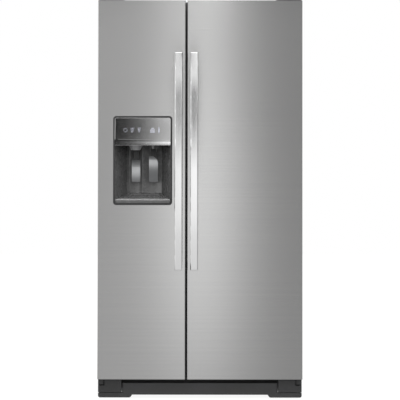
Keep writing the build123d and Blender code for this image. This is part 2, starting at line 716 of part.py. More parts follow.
def bottom_hinge(side):
    """An angle on the front of the base with a pin and a collar that carry the door."""
    axis_x = side * HINGE_X
    top = DOOR_BOTTOM - SEAT_GAP - HINGE_COLLAR
    x = (side * (HINGE_X + HINGE_LUG), side * (HINGE_X + HINGE_LUG - HINGE_WIDTH))
    shelf = span_box(x, (Y_HINGE - HINGE_LUG, Y_CABINET), (top - HINGE_PLATE, top))
    leaf = span_box(x, (Y_CABINET - HINGE_PLATE, Y_CABINET), (TOE_BLOCK_BOTTOM, top))
    collar = rod((axis_x, Y_HINGE, top), (axis_x, Y_HINGE, top + HINGE_COLLAR), HINGE_COLLAR_RADIUS)
    pin = rod((axis_x, Y_HINGE, top), (axis_x, Y_HINGE, DOOR_BOTTOM + HINGE_PIN_REACH), HINGE_PIN_RADIUS)
    hinge = shelf + leaf + collar + pin
    for x_screw, z_screw in bottom_screws(side):
        start = (x_screw, Y_CABINET - HINGE_PLATE, z_screw)
        hinge -= rod(start, (x_screw, Y_CABINET, z_screw), SCREW_RADIUS + RUNNING_FIT)
    return hinge


def bottom_screws(side):
    """Places of the screws in a bottom hinge."""
    middle = side * (HINGE_X + HINGE_LUG - HINGE_WIDTH / 2)
    reach = HINGE_WIDTH / 4
    z = TOE_BLOCK_BOTTOM + reach
    return (middle - reach, z), (middle + reach, z)


def hinge_screws():
    screws = []
    for side in (-1, 1):
        seat = CABINET_TOP + HINGE_PLATE
        for x, y in top_screws(side):
            head = rod((x, y, seat), (x, y, seat + SCREW_HEAD), SCREW_HEAD_RADIUS)
            screws.append(head + rod((x, y, CABINET_TOP), (x, y, seat), SCREW_RADIUS))
        seat = Y_CABINET - HINGE_PLATE
        for x, z in bottom_screws(side):
            head = rod((x, seat, z), (x, seat - SCREW_HEAD, z), SCREW_HEAD_RADIUS)
            screws.append(head + rod((x, Y_CABINET, z), (x, seat, z), SCREW_RADIUS))
    return screws


def top_hinge_cover(side):
    """A cap over a top hinge, open below."""
    x = (side * (HALF_SPAN - HINGE_COVER_WIDTH), side * (HALF_SPAN - TOE_END_INSET))
    y = (Y_DOOR + HINGE_COVER_FRONT, Y_DOOR + HINGE_COVER_FRONT + HINGE_COVER_DEPTH)
    z = (CABINET_TOP, CABINET_TOP + HINGE_COVER_HEIGHT)
    cover = span_box(x, y, z)
    cover = round_edges(cover, Axis.Z, 3 * COVER_WALL)
    rims = cover.edges().group_by(Axis.Z)[-1]
    cover = fillet(rims, 1.5 * COVER_WALL)
    inside_x = (x[0] + side * COVER_WALL, x[1] - side * COVER_WALL)
    inside = span_box(inside_x, (y[0] + COVER_WALL, y[1] - COVER_WALL), (z[0], z[1] - COVER_WALL))
    return cover - round_edges(inside, Axis.Z, 2 * COVER_WALL)


def bottom_hinge_cover(side):
    """A block beside the toe grille, open at the back, with a gap round a tab in front of the hinge."""
    out = side * (HALF_SPAN - TOE_END_INSET)
    inner = out - side * TOE_BLOCK_WIDTH
    y = (TOE_Y, Y_CABINET - HINGE_PLATE - SEAT_GAP)
    z = (TOE_BLOCK_BOTTOM, DOOR_BOTTOM - TOE_BLOCK_GAP)
    block = span_box((inner, out), y, z)
    block = fillet(block.faces().sort_by(Axis.Y)[0].edges(), COVER_WALL / 2)
    inside_x = (inner + side * COVER_WALL, out - side * COVER_WALL)
    block -= span_box(inside_x, (y[0] + COVER_WALL, y[1]), (z[0] + COVER_WALL, z[1] - COVER_WALL))
    notch_x = (out - side * TOE_NOTCH_WIDTH, out)
    notch_low = z[1] - TOE_NOTCH_HEIGHT
    block -= span_box(notch_x, (y[0] + COVER_WALL, y[1]), (notch_low, z[1]))
    line_x = (notch_x[0], notch_x[0] + side * TOE_NOTCH_LINE)
    block -= span_box(line_x, y, (notch_low, z[1]))
    block -= span_box((notch_x[0], out - side * 2 * COVER_WALL), y, (notch_low, notch_low + TOE_NOTCH_LINE))
    hinge_top = DOOR_BOTTOM - SEAT_GAP - HINGE_COLLAR
    arm_x = (side * (HINGE_X + HINGE_LUG - HINGE_WIDTH - PASS_GAP), out)
    arm_z = (hinge_top - HINGE_PLATE - PASS_GAP, z[1] - COVER_WALL)
    block -= span_box(arm_x, (y[0] + COVER_WALL, y[1]), arm_z)
    boss_x = side * (HINGE_X + HINGE_LUG - HINGE_WIDTH)
    boss_z = (z[0] + COVER_WALL, z[0] + SCREW_HEAD_RADIUS)
    boss_y = (y[0] + COVER_WALL, Y_CABINET - HINGE_PLATE)
    boss = span_box((boss_x, boss_x + side * COVER_WALL * 2), boss_y, boss_z)
    return block + boss


def toe_grille():
    """One moulding: the middle strip, and flanges with a ledge that run under the hinge covers."""
    out = HALF_SPAN - TOE_END_INSET
    strip = out - TOE_BLOCK_WIDTH - TOE_SLOT
    reach = out - TOE_FLANGE_REACH
    right = (
        (reach - TOE_FLANGE_SLANT, TOE_STRIP_BOTTOM),
        (reach, TOE_FLANGE_BOTTOM),
        (out, TOE_FLANGE_BOTTOM),
        (out, TOE_FLANGE_TOP),
        (strip, TOE_FLANGE_TOP),
        (strip, TOE_STRIP_TOP),
    )
    left = tuple((-x, z) for x, z in reversed(right))
    outline = make_face(Polyline(*(right + left), close=True))
    low_corners = outline.vertices().filter_by(lambda corner: corner.Y < TOE_STRIP_BOTTOM - TOE_LEDGE_WALL)
    outline = fillet(low_corners, TOE_CORNER)
    y = (TOE_Y, TOE_Y + COVER_WALL)
    plane = Plane(origin=(0, y[1], 0), x_dir=(1, 0, 0), z_dir=(0, -1, 0))
    grille = extrude(plane * outline, COVER_WALL)
    grille = fillet(grille.faces().sort_by(Axis.Y)[0].edges(), COVER_WALL / 2)
    return_z = (TOE_STRIP_TOP - 2 * COVER_WALL, TOE_STRIP_TOP)
    grille += span_box((-strip, strip), (y[1], y[1] + TOE_RETURN), return_z)
    clip_z = (TOE_FLANGE_TOP + TOE_RETURN, TOE_FLANGE_TOP + 2 * TOE_RETURN)
    for side in (-1, 1):
        clip_x = (side * TOE_CLIP_X, side * (TOE_CLIP_X + TOE_RETURN))
        grille += span_box(clip_x, (y[1], Y_CABINET), clip_z)
        ledge_x = (side * (strip - TOE_RETURN), side * (out - TOE_LEDGE_WALL))
        ledge_z = (TOE_FLANGE_TOP - TOE_LEDGE_WALL, TOE_FLANGE_TOP)
        grille += span_box(ledge_x, (y[1], y[1] + TOE_LEDGE), ledge_z)
        wall_x = (side * (strip - TOE_RETURN), side * (strip + TOE_SLOT - TOE_LEDGE_WALL))
        wall_y = (y[1] + TOE_RETURN - TOE_LEDGE_WALL, y[1] + TOE_RETURN)
        grille += span_box(wall_x, wall_y, (ledge_z[0], TOE_STRIP_TOP))
    return grille


# Door shells
def door_block(door, inset):
    """The door's outside, or its inside within the steel skin."""
    x = (door[0] + inset, door[1] - inset)
    block = span_box(x, (Y_DOOR + inset, Y_DOOR_BACK), (DOOR_BOTTOM, DOOR_TOP))
    middle = (Y_DOOR + Y_DOOR_BACK) / 2
    return round_edges(block, Axis.Z, DOOR_EDGE_RADIUS - inset, lambda point: point.Y < middle)


def door_skin(door):
    return door_block(door, 0) - door_block(door, SHEET)


def door_caps(door, side):
    """End caps inside the skin, each with the bore of its hinge."""
    inside = door_block(door, SHEET)
    wide = (door[0], door[1])
    deep = (Y_DOOR, Y_DOOR_BACK)
    axis_x = side * HINGE_X
    bore = HINGE_PIN_RADIUS + RUNNING_FIT
    depth = HINGE_PIN_REACH + PASS_GAP
    top = inside & span_box(wide, deep, (DOOR_TOP - DOOR_CAP_HEIGHT, DOOR_TOP))
    top -= rod((axis_x, Y_HINGE, DOOR_TOP - depth), (axis_x, Y_HINGE, DOOR_TOP), bore)
    bottom = inside & span_box(wide, deep, (DOOR_BOTTOM, DOOR_BOTTOM + DOOR_CAP_HEIGHT))
    bottom -= rod((axis_x, Y_HINGE, DOOR_BOTTOM), (axis_x, Y_HINGE, DOOR_BOTTOM + depth), bore)
    return [top, bottom]


def core_height():
    return DOOR_BOTTOM + DOOR_CAP_HEIGHT, DOOR_TOP - DOOR_CAP_HEIGHT


def core_part(door, x, z):
    """Foam in part of a door, between the skin and the liner."""
    return door_block(door, SHEET) & span_box(x, (Y_DOOR, Y_DOOR_BACK - LINER), z)


def liner_plate(door):
    x = (door[0] + SHEET, door[1] - SHEET)
    return span_box(x, (Y_DOOR_BACK - LINER, Y_DOOR_BACK), core_height())


def gasket(door, side):
    """A folded seal with a narrow waist, round the back of a door."""
    insets = (GASKET_HINGE_INSET, GASKET_EDGE_INSET) if side < 0 else (GASKET_EDGE_INSET, GASKET_HINGE_INSET)
    x = (door[0] + insets[0], door[1] - insets[1])
    z = (core_height()[0] - GASKET_EDGE_INSET / 2, core_height()[1] + GASKET_EDGE_INSET / 2)
    back = Y_CABINET - SEAT_GAP
    bands = (
        (Y_DOOR_BACK, Y_DOOR_BACK + GASKET_BAND, 0),
        (Y_DOOR_BACK + GASKET_BAND, back - GASKET_BAND, GASKET_WAIST),
        (back - GASKET_BAND, back, 0),
    )
    seal = None
    for start, end, waist in bands:
        outer = span_box((x[0] + waist, x[1] - waist), (start, end), (z[0] + waist, z[1] - waist))
        width = GASKET_WIDTH - waist
        hole_x = (x[0] + width, x[1] - width)
        band = outer - span_box(hole_x, (start, end), (z[0] + width, z[1] - width))
        seal = band if seal is None else seal + band
    return seal


# Door liners and bins
def swing_limit(door_side, reach):
    """How far toward the latch side a piece may go, when it stands this far behind the front frame."""
    width = FREEZER if door_side < 0 else REFRIGERATOR
    wall = abs(door_side * HINGE_X - (width[1] if door_side < 0 else width[0]))
    back = Y_CABINET + reach - Y_HINGE
    return door_side * (HINGE_X - sqrt((wall - SWING_GAP) ** 2 - back ** 2))


def bin_span(side):
    """Both ends of a door bin, the hinge end first."""
    width = FREEZER if side < 0 else REFRIGERATOR
    wall = width[0] if side < 0 else width[1]
    hinge_end = wall - side * (RIB_WALL_GAP + RIB_WIDTH + SEAT_GAP)
    return hinge_end, swing_limit(side, BIN_REACH)


def rib_spans(side):
    """The two ribs that stand at the ends of the bins."""
    hinge_end, latch_end = bin_span(side)
    first = hinge_end + side * SEAT_GAP
    last = latch_end - side * SEAT_GAP
    return (first, first + side * RIB_WIDTH), (last, last - side * RIB_WIDTH)


def door_ribs(side, bins):
    """Ribs with a ledge under each end of each bin."""
    pieces = []
    height = (FLOOR_Z + RIB_END_GAP, CEILING_Z - RIB_END_GAP)
    depth = (Y_DOOR_BACK, Y_CABINET + RIB_REACH)
    for index, x in enumerate(rib_spans(side)):
        rib = span_box(x, depth, height)
        rib = round_edges(rib, Axis.Z, RIB_EDGE, lambda point: point.Y > Y_DOOR_BACK + RIB_REACH / 2)
        inward = -side if index == 0 else side
        for z, _, _ in bins:
            ledge_x = (x[0], x[0] + inward * (BIN_LEDGE + SEAT_GAP))
            rib += span_box(ledge_x, (Y_DOOR_BACK, depth[1] - RIB_WIDTH), (z - BIN_LEDGE, z))
        pieces.append(rib)
    return pieces


def bin_back(shallow):
    return Y_DOOR_BACK + SHALLOW_BIN_DEPTH if shallow else Y_CABINET + BIN_REACH


def door_bins(side, bins):
    """Open trays that hang between the ribs."""
    ends = sorted(bin_span(side))
    trays = []
    for z, height, shallow in bins:
        back = bin_back(shallow)
        tray = span_box(ends, (Y_DOOR_BACK, back), (z, z + height))
        tray = round_edges(tray, Axis.Z, 4 * BIN_WALL, lambda point: point.Y > Y_DOOR_BACK + BIN_WALL)
        inside_x = (ends[0] + BIN_WALL, ends[1] - BIN_WALL)
        inside = span_box(inside_x, (Y_DOOR_BACK + BIN_WALL, back - BIN_WALL), (z + BIN_WALL, z + height))
        inside = round_edges(inside, Axis.Z, 3 * BIN_WALL)
        trays.append(tray - inside)
    return trays


def lid_axis():
    """Axis of the lid on the highest bin of the refrigerator door, as (y, z)."""
    z, height, _ = REFRIGERATOR_BINS[-1]
    return Y_DOOR_BACK + LID_PIN_OFFSET, z + height + LID_PIN_RADIUS + LID_THICKNESS


def dairy_lid():
    y, z = lid_axis()
    ends = sorted(bin_span(1))
    x = (ends[0] + PASS_GAP, ends[1] - PASS_GAP)
    front = Y_CABINET + BIN_REACH + LID_THICKNESS + SEAT_GAP
    lid = span_box(x, (y, front), (z - LID_THICKNESS / 2, z + LID_THICKNESS / 2))
    lid += span_box(x, (front - LID_THICKNESS, front), (z - LID_SKIRT, z + LID_THICKNESS / 2))
    pin_reach = RIB_WIDTH / 2
    return lid + rod((ends[0] - pin_reach, y, z), (ends[1] + pin_reach, y, z), LID_PIN_RADIUS)


def refrigerator_door_liner():
    y, z = lid_axis()
    ends = sorted(bin_span(1))
    reach = RIB_WIDTH / 2 + PASS_GAP
    hole = rod((ends[0] - reach, y, z), (ends[1] + reach, y, z), LID_PIN_RADIUS + RUNNING_FIT)
    return [liner_plate(REFRIGERATOR_DOOR)] + [rib - hole for rib in door_ribs(1, REFRIGERATOR_BINS)]


# Handles
def handle(door, side):
    """A bowed bar with a foot at each end, and its two studs."""
    inner_edge = door[1] if side < 0 else door[0]
    near = inner_edge + side * HANDLE_INSET
    x = sorted((near, near + side * HANDLE_WIDTH))
    low = DOOR_BOTTOM + HANDLE_RISE
    high = low + HANDLE_LENGTH
    middle = (low + high) / 2
    end_front = Y_DOOR - HANDLE_REACH + HANDLE_BOW
    half = HANDLE_LENGTH / 2
    radius = (half ** 2 + HANDLE_BOW ** 2) / (2 * HANDLE_BOW)
    centre_y = Y_DOOR - HANDLE_REACH + radius
    inner_radius = radius - HANDLE_BAR
    foot_half = half - HANDLE_FOOT
    foot_y = centre_y - sqrt(inner_radius ** 2 - foot_half ** 2)
    plane = Plane(origin=(x[0], 0, 0), x_dir=(0, 1, 0), z_dir=(1, 0, 0))
    foot_low = low + HANDLE_FOOT
    foot_high = high - HANDLE_FOOT
    outline = [
        ThreePointArc((end_front, low), (Y_DOOR - HANDLE_REACH, middle), (end_front, high)),
        Polyline((end_front, high), (Y_DOOR, high), (Y_DOOR, foot_high), (foot_y, foot_high)),
        ThreePointArc((foot_y, foot_high), (centre_y - inner_radius, middle), (foot_y, foot_low)),
        Polyline((foot_y, foot_low), (Y_DOOR, foot_low), (Y_DOOR, low), (end_front, low)),
    ]
    bar = extrude(plane * make_face(Curve() + outline), HANDLE_WIDTH)
    front = bar.faces().filter_by(GeomType.CYLINDER).sort_by(Axis.Y)[0]
    bar = fillet(front.edges(), HANDLE_EDGE)
    middle_x = (x[0] + x[1]) / 2
    studs = []
    for z in (low + HANDLE_FOOT / 2, high - HANDLE_FOOT / 2):
        hole_end = (middle_x, Y_DOOR - STUD_REACH - PASS_GAP, z)
        hole = rod(hole_end, (middle_x, Y_DOOR, z), STUD_RADIUS + RUNNING_FIT)
        bar -= hole
        studs.append(rod((middle_x, Y_DOOR - STUD_REACH, z), (middle_x, Y_DOOR, z), STUD_RADIUS))
    return [bar] + studs


# Dispenser
def front_rectangle(x, z, radius, y):
    """A plate along Y with rounded corners."""
    plate = span_box(x, y, z)
    return round_edges(plate, Axis.Y, radius)


def dispenser_span(inset):
    return DISPENSER_X - DISPENSER_WIDTH / 2 + inset, DISPENSER_X + DISPENSER_WIDTH / 2 - inset


def dispenser_bezel():
    y = (Y_DOOR - BEZEL_PROUD, Y_DOOR)
    ring = front_rectangle(dispenser_span(0), (DISPENSER_Z, DISPENSER_TOP), DISPENSER_RADIUS, y)
    ring = fillet(ring.faces().sort_by(Axis.Y)[0].edges(), BEZEL_PROUD / 2)
    hole_z = (DISPENSER_Z + BEZEL_SILL, DISPENSER_TOP - BEZEL_BORDER)
    return ring - front_rectangle(dispenser_span(BEZEL_BORDER), hole_z, DISPENSER_RADIUS / 2, y)


def tub_outline(grow):
    """The dispenser's recess in plan, open to the front."""
    middle = DISPENSER_X + TUB_BACK_OFFSET
    back_half = TUB_BACK_WIDTH / 2
    sketch = make_face(Polyline(
        (DISPENSER_X - TUB_HALF - grow, Y_DOOR),
        (DISPENSER_X + TUB_HALF + grow, Y_DOOR),
        (middle + back_half + grow, TUB_BACK + grow),
        (middle - back_half - grow, TUB_BACK + grow),
        close=True,
    ))
    corners = sketch.vertices().group_by(Axis.Y)[-1]
    return fillet(corners, TUB_CORNER + grow)


def lever_ears(x, width):
    """Two lugs under the tub's ceiling that hold a lever's pin."""
    half = LEVER_PIN_RADIUS * 3
    ears = []
    for side in (-1, 1):
        near = x + side * (width / 2 + SEAT_GAP)
        depth = (LEVER_PIVOT_Y - half, LEVER_PIVOT_Y + half)
        ears.append(span_box((near, near + side * LEVER_EAR), depth, (LEVER_PIVOT_Z - half, TUB_CEILING)))
    return ears


def lever_pin(x, clearance):
    reach = LEVER_ARM_WIDTH / 2 + SEAT_GAP + LEVER_EAR
    ends = [(x + side * reach, LEVER_PIVOT_Y, LEVER_PIVOT_Z) for side in (-1, 1)]
    return rod(*ends, LEVER_PIN_RADIUS + clearance)


def chute_rod(radius):
    """The chute's straight run, long enough to pass both of its ends."""
    along = (CHUTE_HIGH - CHUTE_LOW).normalized()
    extra = 2 * CHUTE_RADIUS
    start = CHUTE_LOW - along * extra
    end = CHUTE_HIGH + along * extra
    return rod((start.X, start.Y, start.Z), (end.X, end.Y, end.Z), radius)


def niche_wall():
    """A wall in front of the recess's back, with a hollow behind each lever."""
    z = (TUB_FLOOR + TRAY_BACK_RISE + TRAY_LIP + PASS_GAP, TUB_CEILING)
    left = ICE_LEVER_X - ICE_NICHE_WIDTH / 2
    middle = left + ICE_NICHE_WIDTH + NICHE_RIDGE
    right = middle + WATER_NICHE_WIDTH
    front = TUB_BACK - NICHE_DEPTH
    wall = span_box((left - NICHE_RIDGE, right + NICHE_RIDGE), (front, TUB_BACK), z)
    wall &= extrude(Pos(0, 0, z[0]) * tub_outline(0), z[1] - z[0])
    deep = NICHE_DEPTH - NICHE_BACK
    for start, width in ((left, ICE_NICHE_WIDTH), (middle, WATER_NICHE_WIDTH)):
        radius = ((width / 2) ** 2 + deep ** 2) / (2 * deep)
        x = start + width / 2
        y = front + deep - radius
        wall -= rod((x, y, z[0]), (x, y, z[1]), radius)
    return wall


def dispenser_housing():
    """The recess: tapered walls, a floor, a ceiling and the backing of the control panel."""
    floor = TUB_FLOOR - TUB_WALL
    ceiling = TUB_CEILING + TUB_WALL
    tub = extrude(Pos(0, 0, floor) * tub_outline(TUB_WALL), ceiling - floor)
    tub -= extrude(Pos(0, 0, TUB_FLOOR) * tub_outline(0), TUB_CEILING - TUB_FLOOR)
    tub += niche_wall()
    backing_x = (DISPENSER_X - TUB_HALF - TUB_WALL, DISPENSER_X + TUB_HALF + TUB_WALL)
    backing_z = (ceiling, DISPENSER_TOP - BEZEL_BORDER)
    tub += span_box(backing_x, (Y_DOOR + PANEL_BACK, Y_DOOR + PANEL_BACK + TUB_WALL), backing_z)
    tub -= span_box(backing_x, (Y_DOOR, Y_DOOR + PANEL_BACK), (PANEL_BOTTOM, ceiling))
    for x in (ICE_LEVER_X, WATER_LEVER_X):
        for ear in lever_ears(x, LEVER_ARM_WIDTH):
            tub += ear
        tub -= lever_pin(x, RUNNING_FIT)
    passage = chute_rod(CHUTE_RADIUS + SEAT_GAP) & span_box(
        (CHUTE_X - 2 * CHUTE_RADIUS, CHUTE_X + 2 * CHUTE_RADIUS),
        (Y_DOOR, BUMP_Y),
        (TUB_CEILING, DISPENSER_TOP),
    )
    tub -= passage
    nozzle = (WATER_LEVER_X, Y_DOOR + CHUTE_FRONT, TUB_CEILING)
    return tub - rod(nozzle, (nozzle[0], nozzle[1], ceiling), NOZZLE_RADIUS)


def lip_curve(start, height):
    """An arc that curves back as it goes down from a start in (y, z): its middle and its end."""
    top, foot = (radians(lean) for lean in PANEL_LIP_LEANS)
    radius = height / (sin(top) - sin(foot))
    points = []
    for lean in ((top + foot) / 2, foot):
        out = radius * (cos(lean) - cos(top))
        down = radius * (sin(top) - sin(lean))
        points.append((start[0] - out, start[1] - down))
    return points


def control_panel():
    """A wedge that leans out to a curved lip at its lower edge, with a groove above the lip."""
    x = dispenser_span(BEZEL_BORDER + SEAT_GAP)
    top = DISPENSER_TOP - BEZEL_BORDER - SEAT_GAP
    lip_top = PANEL_BOTTOM - PANEL_LIP_DROP + PANEL_LIP_HEIGHT
    front = Y_DOOR - PANEL_TOP_PROUD
    back = Y_DOOR + PANEL_BACK
    ledge = front - PANEL_SLOPE * (top - lip_top)
    lip = (ledge - PANEL_STEP, lip_top)
    middle, nose = lip_curve(lip, PANEL_LIP_HEIGHT)
    outline = [
        ThreePointArc(lip, middle, nose),
        Polyline(nose, (front, PANEL_BOTTOM), (back, PANEL_BOTTOM), (back, top), (front, top), (ledge, lip_top), lip),
    ]
    plane = Plane(origin=(x[0], 0, 0), x_dir=(0, 1, 0), z_dir=(1, 0, 0))
    panel = extrude(plane * make_face(Curve() + outline), x[1] - x[0])
    panel = fillet(panel.edges().filter_by(Axis.X).sort_by(Axis.Y)[:1], PANEL_NOSE_RADIUS)
    outline_z = (PANEL_BOTTOM - DISPENSER_RADIUS, top)
    panel &= front_rectangle(x, outline_z, DISPENSER_RADIUS / 2, (nose[0], back))
    faces = panel.faces().filter_by(lambda face: face.center().Z > lip_top + PANEL_LIP_HEIGHT)
    face = faces.filter_by(lambda face: abs(face.center().X - DISPENSER_X) < PANEL_EDGE).sort_by(Axis.Y)[0]
    panel = chamfer(face.edges().filter_by(lambda edge: edge.center().Z > lip_top + PANEL_EDGE), PANEL_EDGE)
    groove_x = (x[0] + PANEL_GROOVE_END, x[1] - PANEL_GROOVE_END)
    groove_y = (nose[0], ledge + PANEL_GROOVE_DEPTH)
    return panel - span_box(groove_x, groove_y, (lip_top, lip_top + PANEL_GROOVE))


def dispenser_spouts():
    """The ice chute with its spout, and the water nozzle."""
    tube = chute_rod(CHUTE_RADIUS)
    inner = chute_rod(CHUTE_RADIUS - CHUTE_WALL)
    wide = (CHUTE_X - 2 * CHUTE_RADIUS, CHUTE_X + 2 * CHUTE_RADIUS)
    run = span_box(wide, (Y_DOOR, Y_CABINET + CABINET_DEPTH), (TUB_CEILING, BUMP_Z[1]))
    tube = tube & run
    y = Y_DOOR + CHUTE_FRONT
    tip = TUB_CEILING - SPOUT_DROP
    spout = cone_z(CHUTE_X, y, tip, TUB_CEILING, SPOUT_TIP_RADIUS, SPOUT_TOP_RADIUS)
    bore_top = CHUTE_RADIUS - CHUTE_WALL
    bore = cone_z(CHUTE_X, y, tip, TUB_CEILING, SPOUT_TIP_RADIUS - CHUTE_WALL, bore_top)
    nozzle_low = (WATER_LEVER_X, y, TUB_CEILING - NOZZLE_DROP)
    nozzle_high = (WATER_LEVER_X, y, TUB_CEILING + TUB_WALL)
    nozzle = rod(nozzle_low, nozzle_high, NOZZLE_RADIUS) - rod(nozzle_low, nozzle_high, NOZZLE_RADIUS / 2)
    return [(tube - inner) + (spout - bore), nozzle]


def flap_plane():
    """Where the chute flap hangs: local Z along the chute, local X along the hinge."""
    along = (CHUTE_HIGH - CHUTE_LOW).normalized()
    centre = CHUTE_HIGH - along * FLAP_DROP
    return Plane(origin=centre, x_dir=(1, 0, 0), z_dir=along)


def chute_flap():
    """A disc that closes the chute, hung on a pin at its rear edge."""
    pin_y = FLAP_RADIUS - LEVER_PIN_RADIUS
    half_chord = sqrt((CHUTE_RADIUS - CHUTE_WALL - SEAT_GAP) ** 2 - FLAP_RADIUS ** 2)
    disc = extrude(Circle(FLAP_RADIUS), FLAP_THICKNESS)
    pin = rod((-half_chord, pin_y, 0), (half_chord, pin_y, 0), LEVER_PIN_RADIUS)
    return flap_plane() * (disc + pin)


def pad_outline(x, width, z, shoulder):
    """The front view of a pad, whose upper right corner has a radius of its own."""
    face = Rectangle(width, z[1] - z[0])
    corners = face.vertices().sort_by(Axis.Y)
    upper = corners[2:].sort_by(Axis.X)
    face = fillet(upper[1:], shoulder)
    others = face.vertices().sort_by(Axis.Y)[:2] + face.vertices().sort_by(Axis.X)[:2].sort_by(Axis.Y)[1:]
    face = fillet(others, LEVER_THICKNESS)
    plane = Plane(origin=(x, TUB_BACK, (z[0] + z[1]) / 2), x_dir=(1, 0, 0), z_dir=(0, -1, 0))
    return extrude(plane * face, TUB_DEPTH)


def lever(x, width, pad_height, bend_height, shoulder):
    """A pad under an arm on a pin. The pad leans back above its bend."""
    low = LEVER_PIVOT_Z - LEVER_LENGTH
    pad_top = low + pad_height
    front = LEVER_PIVOT_Y - LEVER_PAD_FORWARD
    line = (
        (front + LEVER_PAD_FORWARD / 2, low),
        (front, low + bend_height),
        (front + LEVER_LEAN * (pad_height - bend_height) / (ICE_PAD_HEIGHT - ICE_BEND_HEIGHT), pad_top),
    )
    half = LEVER_THICKNESS / 2
    pad_points = [(y - half, z) for y, z in line] + [(y + half, z) for y, z in reversed(line)]
    pad = side_prism(pad_points, (x - width / 2, x + width / 2))
    pad &= pad_outline(x, width, (low, pad_top), shoulder)
    arm_y = line[2][0]
    arm_points = (
        (LEVER_PIVOT_Y - half, LEVER_PIVOT_Z),
        (arm_y, pad_top - LEVER_LAP),
        (arm_y + LEVER_THICKNESS, pad_top - LEVER_LAP),
        (LEVER_PIVOT_Y + half, LEVER_PIVOT_Z),
    )
    arm = side_prism(arm_points, (x - LEVER_ARM_WIDTH / 2, x + LEVER_ARM_WIDTH / 2))
    return arm + pad + lever_pin(x, 0)


def drip_tray():
    """A wedge with a basin, that draws out to the front."""
    floor = TUB_FLOOR + SEAT_GAP
    front = floor + TRAY_LIP
    tall = floor + TRAY_LIP + TRAY_BACK_RISE
    outline = tub_outline(-PASS_GAP) & Pos(DISPENSER_X, TUB_BACK - TUB_DEPTH / 2 - PASS_GAP) * Rectangle(
        DISPENSER_WIDTH, TUB_DEPTH)
    body = extrude(Pos(0, 0, floor) * outline, tall - floor)
    slope = (
        (Y_DOOR - TRAY_RIM, tall + TRAY_LIP),
        (Y_DOOR - TRAY_RIM, front),
        (Y_DOOR + TRAY_RIM, front),
        (TUB_BACK, tall),
        (TUB_BACK, tall + TRAY_LIP),
    )
    wide = dispenser_span(0)
    body -= side_prism(slope, wide)
    basin = extrude(Pos(0, 0, floor) * offset(outline, -TRAY_RIM), tall - floor)
    dropped = tuple((y, z - TRAY_BASIN) for y, z in slope)
    body -= basin & side_prism(dropped, wide)
    lip_x = (DISPENSER_X - TUB_HALF + PASS_GAP, DISPENSER_X + TUB_HALF - PASS_GAP)
    lip = span_box(lip_x, (Y_DOOR - BEZEL_PROUD, Y_DOOR), (floor, front))
    lip = round_edges(lip, Axis.Y, DISPENSER_RADIUS / 2, lambda point: point.Z < front - TRAY_LIP / 2)
    groove_y = (Y_DOOR - BEZEL_PROUD, Y_DOOR - BEZEL_PROUD + TRAY_GROOVE)
    groove_z = (floor + TRAY_GROOVE_RISE, floor + TRAY_GROOVE_RISE + TRAY_GROOVE_HEIGHT)
    tray = body + (lip - span_box(lip_x, groove_y, groove_z))
    edge = Vector(0, Y_DOOR - SHEET, front - SHEET)
    return round_edges(tray, Axis.X, TRAY_EDGE, lambda point: point.Z > edge.Z and point.Y < edge.Y)


def freezer_door_skin():
    hole_x = dispenser_span(BEZEL_BORDER / 2)
    hole_z = (DISPENSER_Z + BEZEL_BORDER / 2, DISPENSER_TOP - BEZEL_BORDER / 2)
    return door_skin(FREEZER_DOOR) - span_box(hole_x, (Y_DOOR, Y_DOOR + SHEET), hole_z)


def freezer_door_core():
    """Foam round the dispenser, and behind it in the bump."""
    low, high = core_height()
    left, right = dispenser_span(BEZEL_BORDER / 2)
    sides = (FREEZER_DOOR[0], left), (right, FREEZER_DOOR[1])
    above = BUMP_Z[1] + LINER
    slabs = [core_part(FREEZER_DOOR, FREEZER_DOOR, z) for z in ((low, BUMP_Z[0]), (above, high))]
    for x in sides:
        slabs.append(core_part(FREEZER_DOOR, x, (BUMP_Z[0], above)))
    chute = CHUTE_RADIUS + PASS_GAP
    columns = (left, CHUTE_X - chute), (CHUTE_X + chute, right)
    for x in columns:
        slabs.append(core_part(FREEZER_DOOR, x, (DISPENSER_TOP, above)))
    inside = BUMP_HALF - LINER
    back = (TUB_BACK + TUB_WALL, BUMP_Y - LINER)
    along = (CHUTE_HIGH.Y - CHUTE_LOW.Y) / (CHUTE_HIGH.Z - CHUTE_LOW.Z)
    slack = CHUTE_RADIUS * sqrt(1 + along ** 2) + PASS_GAP
    clear_z = CHUTE_LOW.Z + (back[0] - CHUTE_LOW.Y - slack) / along
    hollow = bump_block(LINER)
    wide = (DISPENSER_X - inside, DISPENSER_X + inside)
    slabs.append(hollow & span_box(wide, back, (BUMP_Z[0] + LINER, clear_z)))
    for x in columns:
        x_inside = (max(x[0], wide[0]), min(x[1], wide[1]))
        slabs.append(hollow & span_box(x_inside, back, (clear_z, BUMP_Z[1] - LINER)))
    return slabs


def bump_block(inset):
    """The bump behind the dispenser and the nose at the chute's mouth, or their insides."""
    x = (DISPENSER_X - BUMP_HALF + inset, DISPENSER_X + BUMP_HALF - inset)
    start = Y_DOOR_BACK - LINER
    block = span_box(x, (start, BUMP_Y - inset), (BUMP_Z[0] + inset, BUMP_Z[1] - inset))
    block = round_edges(block, Axis.Z, BUMP_RADIUS - inset, lambda point: point.Y > start + inset)
    half = CHUTE_RADIUS + 3 * LINER - inset
    nose_back = BUMP_Y + CHUTE_NOSE - inset
    points = (
        (start, BUMP_Z[1] - inset),
        (start, DISPENSER_TOP - BUMP_TOP_RISE),
        (BUMP_Y - inset, DISPENSER_TOP - BUMP_TOP_RISE / 2 + inset),
        (nose_back, BUMP_Z[1] - CHUTE_RADIUS),
        (nose_back, BUMP_Z[1] - inset),
    )
    return block + side_prism(points, (CHUTE_X - half, CHUTE_X + half))


